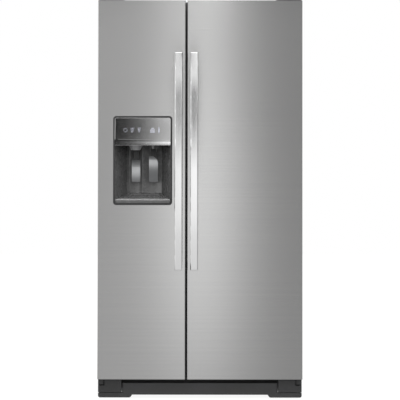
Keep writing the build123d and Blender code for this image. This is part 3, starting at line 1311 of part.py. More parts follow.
def freezer_door_liner():
    bump = bump_block(0)
    pieces = [liner_plate(FREEZER_DOOR) - bump, bump - bump_block(LINER)]
    pieces += [rib - bump for rib in door_ribs(-1, FREEZER_BINS)]
    hole = chute_rod(CHUTE_RADIUS + SEAT_GAP)
    return [piece - hole for piece in pieces]


# Shelves and drawers
def shelf(width, z, back):
    """A frame with a rebate, and the pane that lies in it."""
    x = (width[0] + SHELF_SIDE_GAP, width[1] - SHELF_SIDE_GAP)
    y = (SHELF_FRONT, back)
    top = z + SHELF_HEIGHT
    frame = span_box(x, y, (z, top))
    window = SHELF_BAR
    frame -= span_box((x[0] + window, x[1] - window), (y[0] + window, y[1] - window), (z, top))
    rest = SHELF_BAR - SHELF_REBATE
    pane_x = (x[0] + rest, x[1] - rest)
    pane_y = (y[0] + rest, y[1] - rest)
    pane_z = (top - SHELF_GLASS, top)
    frame -= span_box(pane_x, pane_y, pane_z)
    frame = fillet(frame.edges().filter_by(Axis.X).group_by(Axis.Y)[0], SHELF_HEIGHT / 4)
    return frame, span_box(pane_x, pane_y, pane_z)


def all_shelves():
    freezer_back = COVER_Y - SHELF_SIDE_GAP
    refrigerator_back = REAR_Y - SHELF_SIDE_GAP
    frames = []
    panes = []
    for width, levels, back in (
        (FREEZER, FREEZER_SHELVES + (ICE_SHELF,), freezer_back),
        (REFRIGERATOR, REFRIGERATOR_SHELVES, refrigerator_back),
    ):
        for z in levels:
            frame, pane = shelf(width, z, back)
            frames.append(frame)
            panes.append(pane)
    return frames, panes


def lower_drawer_back():
    return STEP_Y - DRAWER_SIDE_GAP


def drawer(width, levels, back):
    """An open box with flanges that ride on the ledges, and a grip along its front."""
    x = (width[0] + DRAWER_SIDE_GAP, width[1] - DRAWER_SIDE_GAP)
    y = (DRAWER_FRONT, back)
    box = span_box(x, y, levels)
    box = round_edges(box, Axis.Z, 2 * DRAWER_WALL)
    inside_x = (x[0] + DRAWER_WALL, x[1] - DRAWER_WALL)
    inside_y = (y[0] + DRAWER_WALL, y[1] - DRAWER_WALL)
    inside = span_box(inside_x, inside_y, (levels[0] + DRAWER_WALL, levels[1]))
    box -= round_edges(inside, Axis.Z, DRAWER_WALL)
    flange_z = (levels[1] - DRAWER_FLANGE, levels[1])
    flange_y = (y[0] + 2 * DRAWER_WALL, y[1] - 2 * DRAWER_WALL)
    reach = DRAWER_SIDE_GAP - SHELF_SIDE_GAP
    for edge, side in ((x[0], -1), (x[1], 1)):
        box += span_box((edge, edge + side * reach), flange_y, flange_z)
    grip_x = (x[0] + 2 * DRAWER_WALL, x[1] - 2 * DRAWER_WALL)
    return box + span_box(grip_x, (y[0] - DRAWER_GRIP, y[0]), flange_z)


def ice_bin_span():
    ends = sorted(bin_span(-1))
    return ends[0] + ICE_BIN_GAP, ends[1] - ICE_BIN_GAP


def ice_bin_floor():
    return ICE_SHELF + SHELF_HEIGHT + SEAT_GAP


def ice_bin():
    """A bin on the ice shelf, with an outlet over the mouth of the chute."""
    x = ice_bin_span()
    y = (Y_CABINET + ICE_BIN_FRONT, Y_CABINET + ICE_BIN_FRONT + ICE_BIN_DEPTH)
    z = (ice_bin_floor(), ice_bin_floor() + ICE_BIN_HEIGHT)
    box = span_box(x, y, z)
    box = round_edges(box, Axis.Z, 2 * DRAWER_WALL)
    inside = span_box((x[0] + DRAWER_WALL, x[1] - DRAWER_WALL), (y[0] + DRAWER_WALL, y[1] - DRAWER_WALL),
                      (z[0] + DRAWER_WALL, z[1]))
    box -= round_edges(inside, Axis.Z, DRAWER_WALL)
    half = CHUTE_RADIUS - CHUTE_WALL
    outlet_y = (CHUTE_MOUTH_Y - half, CHUTE_MOUTH_Y + half)
    return box - span_box((CHUTE_X - half, CHUTE_X + half), outlet_y, z[:1] + (z[0] + DRAWER_WALL,))


def auger_axis():
    """Height of the auger in the ice bin."""
    return ice_bin_floor() + DRAWER_WALL + AUGER_RADIUS + AUGER_BLADE


def ice_auger():
    """A shaft with blades set in a turn, that pushes ice to the outlet."""
    y = (Y_CABINET + ICE_BIN_FRONT + DRAWER_WALL + SEAT_GAP,
         Y_CABINET + ICE_BIN_FRONT + ICE_BIN_DEPTH - DRAWER_WALL - SEAT_GAP)
    z = auger_axis()
    auger = rod((CHUTE_X, y[0], z), (CHUTE_X, y[1], z), AUGER_SHAFT_RADIUS)
    step = (y[1] - y[0]) / AUGER_BLADES
    for index in range(AUGER_BLADES):
        blade = Rot(0, index * 360 / AUGER_BLADES, 0) * Pos(0, 0, AUGER_RADIUS / 2) * Box(
            2 * AUGER_SHAFT_RADIUS, AUGER_BLADE, AUGER_RADIUS)
        auger += Pos(CHUTE_X, y[0] + (index + 0.5) * step, z) * blade
    return auger


# Parts inside the freezer and the refrigerator
def evaporator():
    width = (FREEZER[0] + SHELF_BAR, FREEZER[1] - SHELF_BAR)
    z = (STEP_Z + EVAPORATOR_RISE, STEP_Z + EVAPORATOR_RISE + EVAPORATOR_HEIGHT)
    return plate_stack(width, (REAR_Y - EVAPORATOR_DEPTH, REAR_Y), z, EVAPORATOR_COUNT, EVAPORATOR_PLATE, 2)


def evaporator_cover():
    """The freezer's back panel, with the fan's opening."""
    y = (COVER_Y, COVER_Y + COVER_THICKNESS)
    cover = span_box(FREEZER, y, (STEP_Z, CEILING_Z))
    for edge, side in ((FREEZER[0], 1), (FREEZER[1], -1)):
        cover += span_box((edge, edge + side * COVER_THICKNESS), (COVER_Y, REAR_Y), (STEP_Z, CEILING_Z))
    origin = fan_plane(True).origin
    pitch = 2 * FAN_RADIUS / FAN_SLOTS
    for index in range(FAN_SLOTS):
        z = origin.Z - FAN_RADIUS + (index + 0.5) * pitch
        half = sqrt(FAN_RADIUS ** 2 - (z - origin.Z) ** 2)
        slot_x = (origin.X - half, origin.X + half)
        cover -= span_box(slot_x, y, (z - pitch / 4, z + pitch / 4))
    return cover


def ice_maker():
    """The mould and its housing, on the freezer's left wall."""
    x = (FREEZER[0], FREEZER[0] + ICE_MAKER_WIDTH)
    y = (COVER_Y - ICE_MAKER_DEPTH, COVER_Y)
    body = span_box(x, y, (ICE_MAKER_Z, ICE_MAKER_Z + ICE_MAKER_HEIGHT))
    edge_z = ICE_MAKER_Z + ICE_MAKER_HEIGHT
    middle = Vector(sum(x) / 2, sum(y) / 2, ICE_MAKER_Z + ICE_MAKER_HEIGHT / 2)
    corner = ICE_MAKER_HEIGHT / 4
    body = round_edges(body, Axis.Y, corner, lambda point: point.X > middle.X and point.Z < middle.Z)
    hollow_y = (y[0] + ICE_MAKER_HEIGHT, y[1] - ICE_MAKER_HEIGHT / 4)
    hollow_x = (x[0] + ICE_MAKER_HEIGHT / 4, x[1] - ICE_MAKER_HEIGHT / 8)
    return body - span_box(hollow_x, hollow_y, (edge_z - ICE_MOULD_DEPTH, edge_z))


def light_covers():
    """Lenses under both ceilings."""
    covers = []
    for width, length in ((FREEZER, FREEZER_LIGHT), (REFRIGERATOR, REFRIGERATOR_LIGHT)):
        middle = (width[0] + width[1]) / 2
        x = (middle - length / 2, middle + length / 2)
        y = (SHELF_FRONT, SHELF_FRONT + LIGHT_DEPTH)
        cover = span_box(x, y, (CEILING_Z - LIGHT_HEIGHT, CEILING_Z))
        covers.append(fillet(cover.faces().sort_by(Axis.Z)[0].edges(), LIGHT_HEIGHT / 3))
    return covers


def water_filter():
    """A cartridge in a saddle under the refrigerator's ceiling, at the right."""
    x = REFRIGERATOR[1] - FILTER_RADIUS - DRAWER_SIDE_GAP
    z = CEILING_Z - FILTER_RADIUS - DRAWER_SIDE_GAP
    y = (SHELF_FRONT, SHELF_FRONT + FILTER_LENGTH)
    cartridge = rod((x, y[0], z), (x, y[1], z), FILTER_RADIUS)
    cartridge = fillet(cartridge.edges().filter_by(GeomType.CIRCLE).sort_by(Axis.Y)[:1], FILTER_RADIUS / 4)
    saddle_x = (x - FILTER_SADDLE / 2, x + FILTER_SADDLE / 2)
    saddle = span_box(saddle_x, (y[0] + FILTER_RADIUS, y[1]), (z, CEILING_Z))
    return [cartridge, saddle - cartridge]


os.makedirs("parts", exist_ok=True)

save("cabinet_panels", *cabinet_panels())
save("back_panel", back_panel())
save("front_frame", front_frame())
save("cabinet_insulation", *cabinet_insulation())
freezer_ledge_back = COVER_Y - SHELF_SIDE_GAP
freezer_drawers = ((FREEZER_BASKET, lower_drawer_back()),)
freezer_levels = FREEZER_SHELVES + (ICE_SHELF,)
save("freezer_liner", compartment_liner(FREEZER, freezer_levels, freezer_ledge_back, freezer_drawers))
upper_back = REAR_Y - DRAWER_SIDE_GAP
crispers = ((LOWER_CRISPER, lower_drawer_back()), (UPPER_CRISPER, upper_back))
save("refrigerator_liner", compartment_liner(REFRIGERATOR, REFRIGERATOR_SHELVES, REAR_Y, crispers))

save("base_frame", *base_frame())
save("front_rollers", *rollers(False))
save("rear_rollers", *rollers(True))
save("left_leveling_leg", leveling_leg(-1))
save("right_leveling_leg", leveling_leg(1))
save("compressor", compressor())
save("condenser", condenser())
save("fan_motors", fan_motor(True), fan_motor(False))
save("condenser_fan", fan(False))
save("evaporator_fan", fan(True))
save("drain_pan", drain_pan())
save("water_valve", water_valve())
save("machine_cover", machine_cover())
save("cord_gland", cord_gland())

save("door_hinges", *[hinge(side) for side in (-1, 1) for hinge in (top_hinge, bottom_hinge)])
save("hinge_screws", *hinge_screws())
save("top_hinge_covers", top_hinge_cover(-1), top_hinge_cover(1))
save("bottom_hinge_covers", bottom_hinge_cover(-1), bottom_hinge_cover(1))
save("toe_grille", toe_grille())

shelf_frames, shelf_panes = all_shelves()
save("shelf_frames", *shelf_frames)
save("shelf_glass", *shelf_panes)
save("upper_crisper", drawer(REFRIGERATOR, UPPER_CRISPER, upper_back))
save("lower_crisper", drawer(REFRIGERATOR, LOWER_CRISPER, lower_drawer_back()))
save("freezer_basket", drawer(FREEZER, FREEZER_BASKET, lower_drawer_back()))
save("ice_bin", ice_bin())
save("ice_auger", ice_auger())
save("evaporator", evaporator())
save("evaporator_cover", evaporator_cover())
save("ice_maker", ice_maker())
save("light_covers", *light_covers())
save("water_filter", *water_filter())

save("freezer_door_skin", freezer_door_skin())
save("freezer_door_caps", *door_caps(FREEZER_DOOR, -1))
save("freezer_door_insulation", *freezer_door_core())
save("freezer_door_liner", *freezer_door_liner())
save("freezer_door_gasket", gasket(FREEZER_DOOR, -1))
save("freezer_door_bins", *door_bins(-1, FREEZER_BINS))
save("freezer_handle", *handle(FREEZER_DOOR, -1))
save("dispenser_bezel", dispenser_bezel())
save("dispenser_housing", dispenser_housing())
save("control_panel", control_panel())
save("dispenser_spouts", *dispenser_spouts())
save("chute_flap", chute_flap())
save("ice_lever", lever(ICE_LEVER_X, ICE_LEVER_WIDTH, ICE_PAD_HEIGHT, ICE_BEND_HEIGHT, LEVER_THICKNESS))
save("water_lever", lever(WATER_LEVER_X, WATER_LEVER_WIDTH, WATER_PAD_HEIGHT, ICE_PAD_HEIGHT, WATER_SHOULDER))
save("drip_tray", drip_tray())

save("refrigerator_door_skin", door_skin(REFRIGERATOR_DOOR))
save("refrigerator_door_caps", *door_caps(REFRIGERATOR_DOOR, 1))
save("refrigerator_door_insulation", core_part(REFRIGERATOR_DOOR, REFRIGERATOR_DOOR, core_height()))
save("refrigerator_door_liner", *refrigerator_door_liner())
save("refrigerator_door_gasket", gasket(REFRIGERATOR_DOOR, 1))
save("refrigerator_door_bins", *door_bins(1, REFRIGERATOR_BINS))
save("refrigerator_handle", *handle(REFRIGERATOR_DOOR, 1))
save("dairy_lid", dairy_lid())
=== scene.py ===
import json
from math import cos, e, pi, radians, sin

import bmesh
import bpy
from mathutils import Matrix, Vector


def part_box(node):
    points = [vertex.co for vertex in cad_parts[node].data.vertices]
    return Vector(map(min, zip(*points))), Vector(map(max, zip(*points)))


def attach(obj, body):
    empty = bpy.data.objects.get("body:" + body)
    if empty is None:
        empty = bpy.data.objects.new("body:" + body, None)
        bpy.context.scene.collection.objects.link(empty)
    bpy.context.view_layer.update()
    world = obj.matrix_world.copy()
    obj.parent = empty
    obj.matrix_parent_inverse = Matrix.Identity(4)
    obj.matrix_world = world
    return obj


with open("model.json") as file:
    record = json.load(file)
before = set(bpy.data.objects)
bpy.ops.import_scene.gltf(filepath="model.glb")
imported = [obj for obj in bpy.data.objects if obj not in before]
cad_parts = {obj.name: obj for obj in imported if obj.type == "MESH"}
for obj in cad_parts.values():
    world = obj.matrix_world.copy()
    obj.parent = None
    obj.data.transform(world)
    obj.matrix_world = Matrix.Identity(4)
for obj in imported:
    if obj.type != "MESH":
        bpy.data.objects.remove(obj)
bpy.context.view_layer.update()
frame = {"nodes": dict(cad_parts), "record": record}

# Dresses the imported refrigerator: finishes, symbols of the control panel, studio and camera. Metres.

# Camera
CAMERA_DISTANCE = 6.0  # in front of the doors
CAMERA_HEIGHT = 0.762
CAMERA_X = -0.0003
CAMERA_PITCH = 1.12
CAMERA_ROLL = -0.08
CAMERA_REACH = 100.0
LENS = 121.9
SENSOR = 36.0

# Studio
AMBIENT = 0.62
FLOOR_GLOW = 0.93
FLOOR_ALBEDO = 0.2
FLOOR_ROUGHNESS = 0.9
FLOOR_SIZE = 60.0
UNDER_SIDES = (0.03, 0.12)  # in from the base's sides, where its shade on the floor starts and is full
UNDER_FRONT = (0.2, 0.27)
UNDER_BACK = (0.02, 0.12)
UNDER_SHADE = 0.97
SOFTBOX_PLACE = (0.1, -5.4, 3.3)
SOFTBOX_AIM = (0.0, -0.4, 1.0)
SOFTBOX_SIZE = (0.9, 1.5)
SOFTBOX_RADIANCE = 6.0
OVERHEAD_PLACE = (0.0, -1.7, 3.6)
OVERHEAD_SIZE = (3.0, 2.6)
OVERHEAD_RADIANCE = 1.5

# Paper sweep that the metal mirrors. The places on it are given where the camera sees them mirrored on the
# plane of the doors, across and up. A pair gives the start and the end of a change.
SWEEP_Y = -6.6
SWEEP_HALF = 14.0
SWEEP_HEIGHT = 6.0
SWEEP_NEAR_Y = -0.46
SWEEP_LIFT = 0.003
SWEEP_LEFT = 0.535
SWEEP_RIGHT = (0.395, 0.345)
SWEEP_TURN = (-0.35, 0.4)
SWEEP_END = (1.88, 1.98)
SWEEP_FALL = (0.2, 1.4)
CROWN_Z = 1.85
CROWN_WIDTH = 0.2
CROWN_GAIN = 0.27
NEAR_FLOOR = (-0.15, 0.05)
NEAR_LEVELS = (0.12, 0.95)
NEAR_TURN = (-0.4, -0.12)
SIDE_CARD = (-1.6, -1.3)
SIDE_LEVEL = 0.55

# Strip of light down the middle of the sweep
STRIP_X = -0.004
STRIP_WIDTHS = (0.152, 0.115)
NARROWING = (0.9, 1.6)
STRIP_Z = 1.0
STRIP_SPREAD = 0.72
STRIP_LEVEL = 0.7
STRIP_FOOT = (0.1, 0.5)
FOOT_LEVEL = 0.6

# Lamp over the strip, which the slanted control panel and the ends of the handles mirror
TOP_LAMP_LEVEL = 1.9
TOP_LAMP_WIDTH = 0.117
TOP_LAMP_DIPS = (0.5, 0.84)
TOP_LAMP_FALL = (2.04, 2.15)
TOP_LAMP_LOW = 0.45
TOP_LAMP_RISE = (2.4, 2.52)
TOP_LAMP_HIGH = 0.7
TOP_LAMP_END = (2.7, 2.9)
FLARE_Z = 2.28
FLARE_SPREAD = 0.075
FLARE_GAIN = 2.0

# Part of that lamp that the handles mirror, across, where it is dimmer
SEAM_LEFT = (-0.116, -0.1)
SEAM_RIGHT = (-0.018, 0.0)

# Soft dark flags in front of the doors, one for each handle: places across, shades, and fading heights
FLAG_DISTANCE = 1.43
FLAG_SPANS = ((-0.137, -0.092), (-0.0546, -0.0124))
FLAG_SHADES = (0.57, 0.74)
FLAG_FOOT = (1.05, 1.45)
FLAG_TOP = (1.624, 1.776)

# Brushed metal: a second layer of broader streaks, and the relief of the fine ones
BROADER = 9
STREAK_DEPTH = 0.00002
STREAK_STRENGTH = 0.35

# Plastic, rubber and paint: noises of the clouding and of the gloss, in waves for a metre
CLOUD_SCALE = 9.0
GLOSS_SCALE = 70.0

# See-through plastic and glass
WAVE_SCALE = 14.0
WAVE_DEPTH = 0.0004
WAVE_STRENGTH = 0.3
WAVE_SHADE = 0.97
SMEAR_SCALE = 60.0

# Galvanised sheet
SPANGLE_METAL = 0.9
SPANGLE_GRAIN = 300.0
SPANGLE_DEPTH = 0.00005

# Satin plastic of the dispenser, with a paler grey painted on as light: on the panel behind the levers, and
# as a painted highlight along the upper edge of the drip tray
HOUSING_BACK_PAINTED_LIGHTER = (-0.2779, 0.0)
TRAY_PAINTED_HIGHLIGHT = (0.8775, 0.8865)
SATIN_EDGE = 0.0005
SATIN_CLOUD = 0.12
SATIN_CLOUD_GREY = 0.25
SATIN_GLOSS_SCALE = 40.0
SATIN_ROUGHNESS = (0.24, 0.3)
SATIN_METAL = 0.08
SATIN_GRAIN = 500.0
SATIN_DEPTH = 0.000004

# Levers: a pad with a painted highlight, palest at one height and painted darker away from it, with a dark
# arm
PAINTED_PAD_HIGHLIGHT = (0.82, 0.83, 0.84)
PAINTED_PAD_SHADE = (0.22, 0.224, 0.23)
LEVER_ARM = (0.06, 0.06, 0.06)
PAD_EDGE = 0.0005
ARM_EDGE = 0.0002
WEAR_SCALE = 40.0
WEAR = 0.06
LEVER_GLOSS_SCALE = 90.0
LEVER_ROUGHNESS = (0.28, 0.36)
LEVER_METAL = 0.5
LEVER_GRAIN = 900.0
LEVER_DEPTH = 0.00001

# Planes of the model that the symbols are set on
DOOR_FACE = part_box("freezer_door_skin")[0].y
PANEL_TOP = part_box("control_panel")[1].z
PANEL_TOP_PROUD = 0.005
PANEL_SLOPE = 0.1404  # how far the panel's face leans out for its height

# Symbols on the control panel: middle of each across the panel, and sizes about that middle
LEGEND_Z = 1.188
LEGEND_PROUD = 0.0002
LEGEND_SEAT = 0.0002
RING_X = -0.331
RING_RADII = (0.0095, 0.0055)
RING_STEPS = 40
GLASS_X = -0.3015
GLASS_HALF = 0.0105
GLASS_FOOT = 0.003
GLASS_BASE = -0.009
GLASS_CORNER = 0.002
GLASS_STEPS = 6
RIM_Z = 0.0115
DROP_X = -0.27
DROP_HALF = 0.0075
DROP_BASE = -0.0075
DROP_RADIUS = 0.0035
DROP_STEPS = 12
LOCK_X = -0.211
LOCK_HALF = 0.0105
LOCK_BASE = -0.012
LOCK_TOP = 0.003
BOW_RADIUS = 0.007
BOW_Z = 0.004
BOW_STEPS = 16
LEAF_X = -0.1825
LEAF_RADIUS = 0.033
LEAF_OFFSET = 0.029
LEAF_ANGLE = 26
LEAF_STEPS = 14

EVEN = (1.0, 1.0, 1.0)
WHITE = (1.0, 1.0, 1.0, 1.0)
BLACK = (0.0, 0.0, 0.0, 1.0)


def grey(value):
    return value, value, value


def add(tree, kind, **settings):
    node = tree.nodes.new(kind)
    for key, value in settings.items():
        setattr(node, key, value)
    return node


def new_material(name):
    material = bpy.data.materials.new(name)
    material.use_nodes = True
    tree = material.node_tree
    return material, tree, tree.nodes["Principled BSDF"]


def place(tree, stretch=EVEN):
    """Object coordinates in metres, stretched on each axis."""
    source = add(tree, "ShaderNodeTexCoord")
    mapping = add(tree, "ShaderNodeMapping")
    mapping.inputs["Scale"].default_value = stretch
    tree.links.new(source.outputs["Object"], mapping.inputs["Vector"])
    return mapping.outputs["Vector"]


def axes(tree, vector):
    """The X, Y and Z outputs of a place, by name."""
    split = add(tree, "ShaderNodeSeparateXYZ")
    tree.links.new(vector, split.inputs["Vector"])
    return split.outputs


def noise(tree, vector, scale, detail=3.0):
    node = add(tree, "ShaderNodeTexNoise")
    node.inputs["Scale"].default_value = scale
    node.inputs["Detail"].default_value = detail
    tree.links.new(vector, node.inputs["Vector"])
    return node.outputs["Fac"]


def spread(tree, value, low, high, start=0.3, end=0.7):
    """Maps a range of a value, the middle of a noise if none is given, onto another range."""
    node = add(tree, "ShaderNodeMapRange")
    node.inputs["From Min"].default_value = start
    node.inputs["From Max"].default_value = end
    node.inputs["To Min"].default_value = low
    node.inputs["To Max"].default_value = high
    tree.links.new(value, node.inputs["Value"])
    return node.outputs["Result"]


def blend_colours(tree, factor, first, second):
    node = add(tree, "ShaderNodeMix", data_type="RGBA")
    tree.links.new(factor, node.inputs["Factor"])
    for name, colour in (("A", first), ("B", second)):
        socket = [s for s in node.inputs if s.name == name and s.type == "RGBA"][0]
        if hasattr(colour, "links"):
            tree.links.new(colour, socket)
        else:
            socket.default_value = (*colour, 1.0)
    return [s for s in node.outputs if s.type == "RGBA"][0]


def bump(tree, shader, height, depth, strength=1.0):
    node = add(tree, "ShaderNodeBump")
    node.inputs["Strength"].default_value = strength
    node.inputs["Distance"].default_value = depth
    tree.links.new(height, node.inputs["Height"])
    tree.links.new(node.outputs["Normal"], shader.inputs["Normal"])


def calculate(tree, operation, first, second):
    node = add(tree, "ShaderNodeMath", operation=operation)
    for socket, value in zip(node.inputs, (first, second)):
        if hasattr(value, "links"):
            tree.links.new(value, socket)
        else:
            socket.default_value = value
    return node.outputs["Value"]


def product(tree, first, *others):
    for value in others:
        first = calculate(tree, "MULTIPLY", first, value)
    return first


def total(tree, first, *others):
    for value in others:
        first = calculate(tree, "ADD", first, value)
    return first


def remainder(tree, share):
    """What a share leaves of one."""
    return calculate(tree, "SUBTRACT", 1.0, share)


def bell(tree, value, middle, width):
    """A smooth hump of height one."""
    share = calculate(tree, "DIVIDE", calculate(tree, "SUBTRACT", value, middle), width)
    return calculate(tree, "POWER", e, product(tree, share, share, -0.5))


# Finishes
def brushed(name, dark, light, roughness, anisotropy, grain, turn):
    """Metal with a directional grain. Grain is the stretch of the streaks on each axis."""
    material, tree, shader = new_material(name)
    fine = noise(tree, place(tree, grain), 1.0, detail=4.0)
    broad = noise(tree, place(tree, [value / BROADER for value in grain]), 1.0, detail=2.0)
    both = spread(tree, product(tree, total(tree, fine, broad), 0.5), 0.0, 1.0)
    tree.links.new(blend_colours(tree, both, dark, light), shader.inputs["Base Color"])
    tree.links.new(spread(tree, fine, *roughness), shader.inputs["Roughness"])
    shader.inputs["Metallic"].default_value = 1.0
    shader.inputs["Anisotropic"].default_value = anisotropy
    shader.inputs["Anisotropic Rotation"].default_value = turn
    tangent = add(tree, "ShaderNodeTangent", direction_type="RADIAL", axis="Z")
    tree.links.new(tangent.outputs["Tangent"], shader.inputs["Tangent"])
    bump(tree, shader, fine, STREAK_DEPTH, STREAK_STRENGTH)
    return material


def moulded(name, dark, light, roughness, grain, depth, metallic=0.0, coat=0.0):
    """Plastic, rubber or paint: faint clouding, uneven gloss and a moulded or sprayed grain."""
    material, tree, shader = new_material(name)
    vector = place(tree)
    cloud = spread(tree, noise(tree, vector, CLOUD_SCALE), 0.0, 1.0)
    tree.links.new(blend_colours(tree, cloud, dark, light), shader.inputs["Base Color"])
    gloss = spread(tree, noise(tree, vector, GLOSS_SCALE), *roughness)
    tree.links.new(gloss, shader.inputs["Roughness"])
    shader.inputs["Metallic"].default_value = metallic
    shader.inputs["Coat Weight"].default_value = coat
    bump(tree, shader, noise(tree, vector, grain), depth)
    return material


def clear(name, colour, roughness, index):
    """See-through plastic or glass with a faint waviness."""
    material, tree, shader = new_material(name)
    vector = place(tree)
    wave = noise(tree, vector, WAVE_SCALE)
    deep = [value * WAVE_SHADE for value in colour]
    tint = blend_colours(tree, spread(tree, wave, 0.0, 1.0), deep, colour)
    tree.links.new(tint, shader.inputs["Base Color"])
    gloss = spread(tree, noise(tree, vector, SMEAR_SCALE), *roughness)
    tree.links.new(gloss, shader.inputs["Roughness"])
    shader.inputs["Transmission Weight"].default_value = 1.0
    shader.inputs["IOR"].default_value = index
    bump(tree, shader, wave, WAVE_DEPTH, WAVE_STRENGTH)
    return material


def spangled(name, dark, light, roughness, cell):
    """Galvanised sheet with crystal facets of different brightness."""
    material, tree, shader = new_material(name)
    vector = place(tree)
    cells = add(tree, "ShaderNodeTexVoronoi")
    cells.inputs["Scale"].default_value = 1.0 / cell
    cells.inputs["Randomness"].default_value = 1.0
    tree.links.new(vector, cells.inputs["Vector"])
    split = add(tree, "ShaderNodeSeparateColor")
    tree.links.new(cells.outputs["Color"], split.inputs["Color"])
    facet = split.outputs["Red"]
    tree.links.new(blend_colours(tree, facet, dark, light), shader.inputs["Base Color"])
    tree.links.new(spread(tree, facet, *roughness, 0.0, 1.0), shader.inputs["Roughness"])
    shader.inputs["Metallic"].default_value = SPANGLE_METAL
    bump(tree, shader, noise(tree, vector, SPANGLE_GRAIN), SPANGLE_DEPTH)
    return material


def satin_with_painted_light(name, axis, lit_band, first, second):
    """Satin plastic of the dispenser in two greys: the second one, paler, is painted light in a band on an
    axis.
    """
    material, tree, shader = new_material(name)
    vector = place(tree)
    along = axes(tree, vector)[axis]
    entered = spread(tree, along, 0.0, 1.0, lit_band[0] - SATIN_EDGE, lit_band[0])
    left = spread(tree, along, 1.0, 0.0, lit_band[1], lit_band[1] + SATIN_EDGE)
    # the paler grey inside the band is painted light
    painted_light_tone = blend_colours(tree, product(tree, entered, left), first, second)
    cloud = spread(tree, noise(tree, vector, CLOUD_SCALE), 0.0, 1.0)
    clouded = blend_colours(tree, product(tree, cloud, SATIN_CLOUD), painted_light_tone, grey(SATIN_CLOUD_GREY))
    tree.links.new(clouded, shader.inputs["Base Color"])
    gloss = spread(tree, noise(tree, vector, SATIN_GLOSS_SCALE), *SATIN_ROUGHNESS)
    tree.links.new(gloss, shader.inputs["Roughness"])
    shader.inputs["Metallic"].default_value = SATIN_METAL
    bump(tree, shader, noise(tree, vector, SATIN_GRAIN), SATIN_DEPTH)
    return material


def lever_with_painted_highlight(name, edge, limit, highlight_height, width):
    """A pale pad with a painted highlight, lightest at one given height and painted darker away from it,
    and a dark arm above the edge or behind the limit.
    """
    material, tree, shader = new_material(name)
    vector = place(tree)
    spot = axes(tree, vector)
    above = spread(tree, spot["Z"], 0.0, 1.0, edge - PAD_EDGE, edge + PAD_EDGE)
    behind = spread(tree, spot["Y"], 0.0, 1.0, limit - ARM_EDGE, limit + ARM_EDGE)
    cloud = spread(tree, noise(tree, vector, WEAR_SCALE), 0.0, 1.0)
    # painted highlight on the pad: palest at one height, painted darker above and below it
    pad_highlight = blend_colours(tree, bell(tree, spot["Z"], highlight_height, width), PAINTED_PAD_SHADE, PAINTED_PAD_HIGHLIGHT)
    wear_and_highlight = blend_colours(tree, product(tree, cloud, WEAR), pad_highlight, LEVER_ARM)
    arm = calculate(tree, "MAXIMUM", above, behind)
    tree.links.new(blend_colours(tree, arm, wear_and_highlight, LEVER_ARM), shader.inputs["Base Color"])
    gloss = spread(tree, noise(tree, vector, LEVER_GLOSS_SCALE), *LEVER_ROUGHNESS)
    tree.links.new(gloss, shader.inputs["Roughness"])
    shader.inputs["Metallic"].default_value = LEVER_METAL
    bump(tree, shader, noise(tree, vector, LEVER_GRAIN), LEVER_DEPTH)
    return material


FINISHES = {}


def add_finish(name, make, *values, **settings):
    FINISHES[name] = make(name, *values, **settings)


# Finishes of the material slots, of the symbols and of the drip tray, with the values that each kind takes
add_finish("stainless", brushed, grey(0.568), (0.607, 0.604, 0.597),
           (0.13, 0.17), 0.8, (5.0, 5.0, 1500.0), 0.25)
add_finish("handle_metal", brushed, grey(0.8), grey(0.84), (0.06, 0.09), 0.3, (500.0, 500.0, 4.0), 0.0)
add_finish("side_paint", moulded, grey(0.085), (0.1, 0.1, 0.102), (0.4, 0.5), 650.0, 0.00018)
add_finish("galvanised", spangled, grey(0.42), (0.56, 0.57, 0.58), (0.38, 0.52), 0.012)
add_finish("dark_trim", moulded, grey(0.046), (0.058, 0.058, 0.06), (0.42, 0.55), 1100.0, 0.00006)
add_finish("cap_grey", moulded, grey(0.1), (0.12, 0.12, 0.124), (0.42, 0.52), 900.0, 0.00006)
add_finish("panel_gloss", moulded, grey(0.6), grey(0.63), (0.08, 0.1), 90.0, 0.000004, metallic=1.0)
add_finish("legend", moulded, (0.84, 0.85, 0.95), (0.88, 0.89, 0.98),
           (0.1, 0.14), 90.0, 0.00001, metallic=0.88)
# the panel behind the levers painted a paler grey than the side walls: painted light, with the walls as
# painted shade
add_finish("housing_charcoal", satin_with_painted_light, "Y", HOUSING_BACK_PAINTED_LIGHTER, grey(0.16), grey(0.27))
# a paler band along the tray's upper edge: a painted highlight
add_finish("tray_satin", satin_with_painted_light, "Z", TRAY_PAINTED_HIGHLIGHT, grey(0.2), grey(0.48))
add_finish("spout_clear", moulded, grey(0.52), (0.6, 0.605, 0.615), (0.1, 0.16), 60.0, 0.00005, coat=0.4)
add_finish("white_liner", moulded, grey(0.78), (0.82, 0.825, 0.825), (0.28, 0.38), 240.0, 0.00005)
add_finish("white_trim", moulded, grey(0.76), (0.8, 0.805, 0.805), (0.32, 0.42), 500.0, 0.00004)
add_finish("clear_plastic", clear, (0.965, 0.982, 0.987), (0.03, 0.07), 1.49)
add_finish("shelf_pane", clear, (0.9, 0.965, 0.94), (0.0, 0.02), 1.52)
add_finish("foam", moulded, (0.66, 0.56, 0.36), (0.74, 0.66, 0.46), (0.8, 0.9), 180.0, 0.0012)
add_finish("seal", moulded, grey(0.032), grey(0.045), (0.5, 0.62), 420.0, 0.00008)
add_finish("steel_black", moulded, grey(0.016), grey(0.026), (0.28, 0.4), 320.0, 0.00008)
add_finish("bare_steel", moulded, grey(0.46), (0.56, 0.56, 0.54),
           (0.3, 0.44), 800.0, 0.00003, metallic=1.0)
add_finish("coil_metal", moulded, grey(0.6), (0.72, 0.73, 0.74),
           (0.3, 0.42), 500.0, 0.00004, metallic=1.0)
add_finish("roller_plastic", moulded, grey(0.06), grey(0.085), (0.45, 0.6), 600.0, 0.00008)
add_finish("lens", moulded, (0.82, 0.82, 0.79), (0.9, 0.9, 0.87), (0.3, 0.42), 380.0, 0.00015)
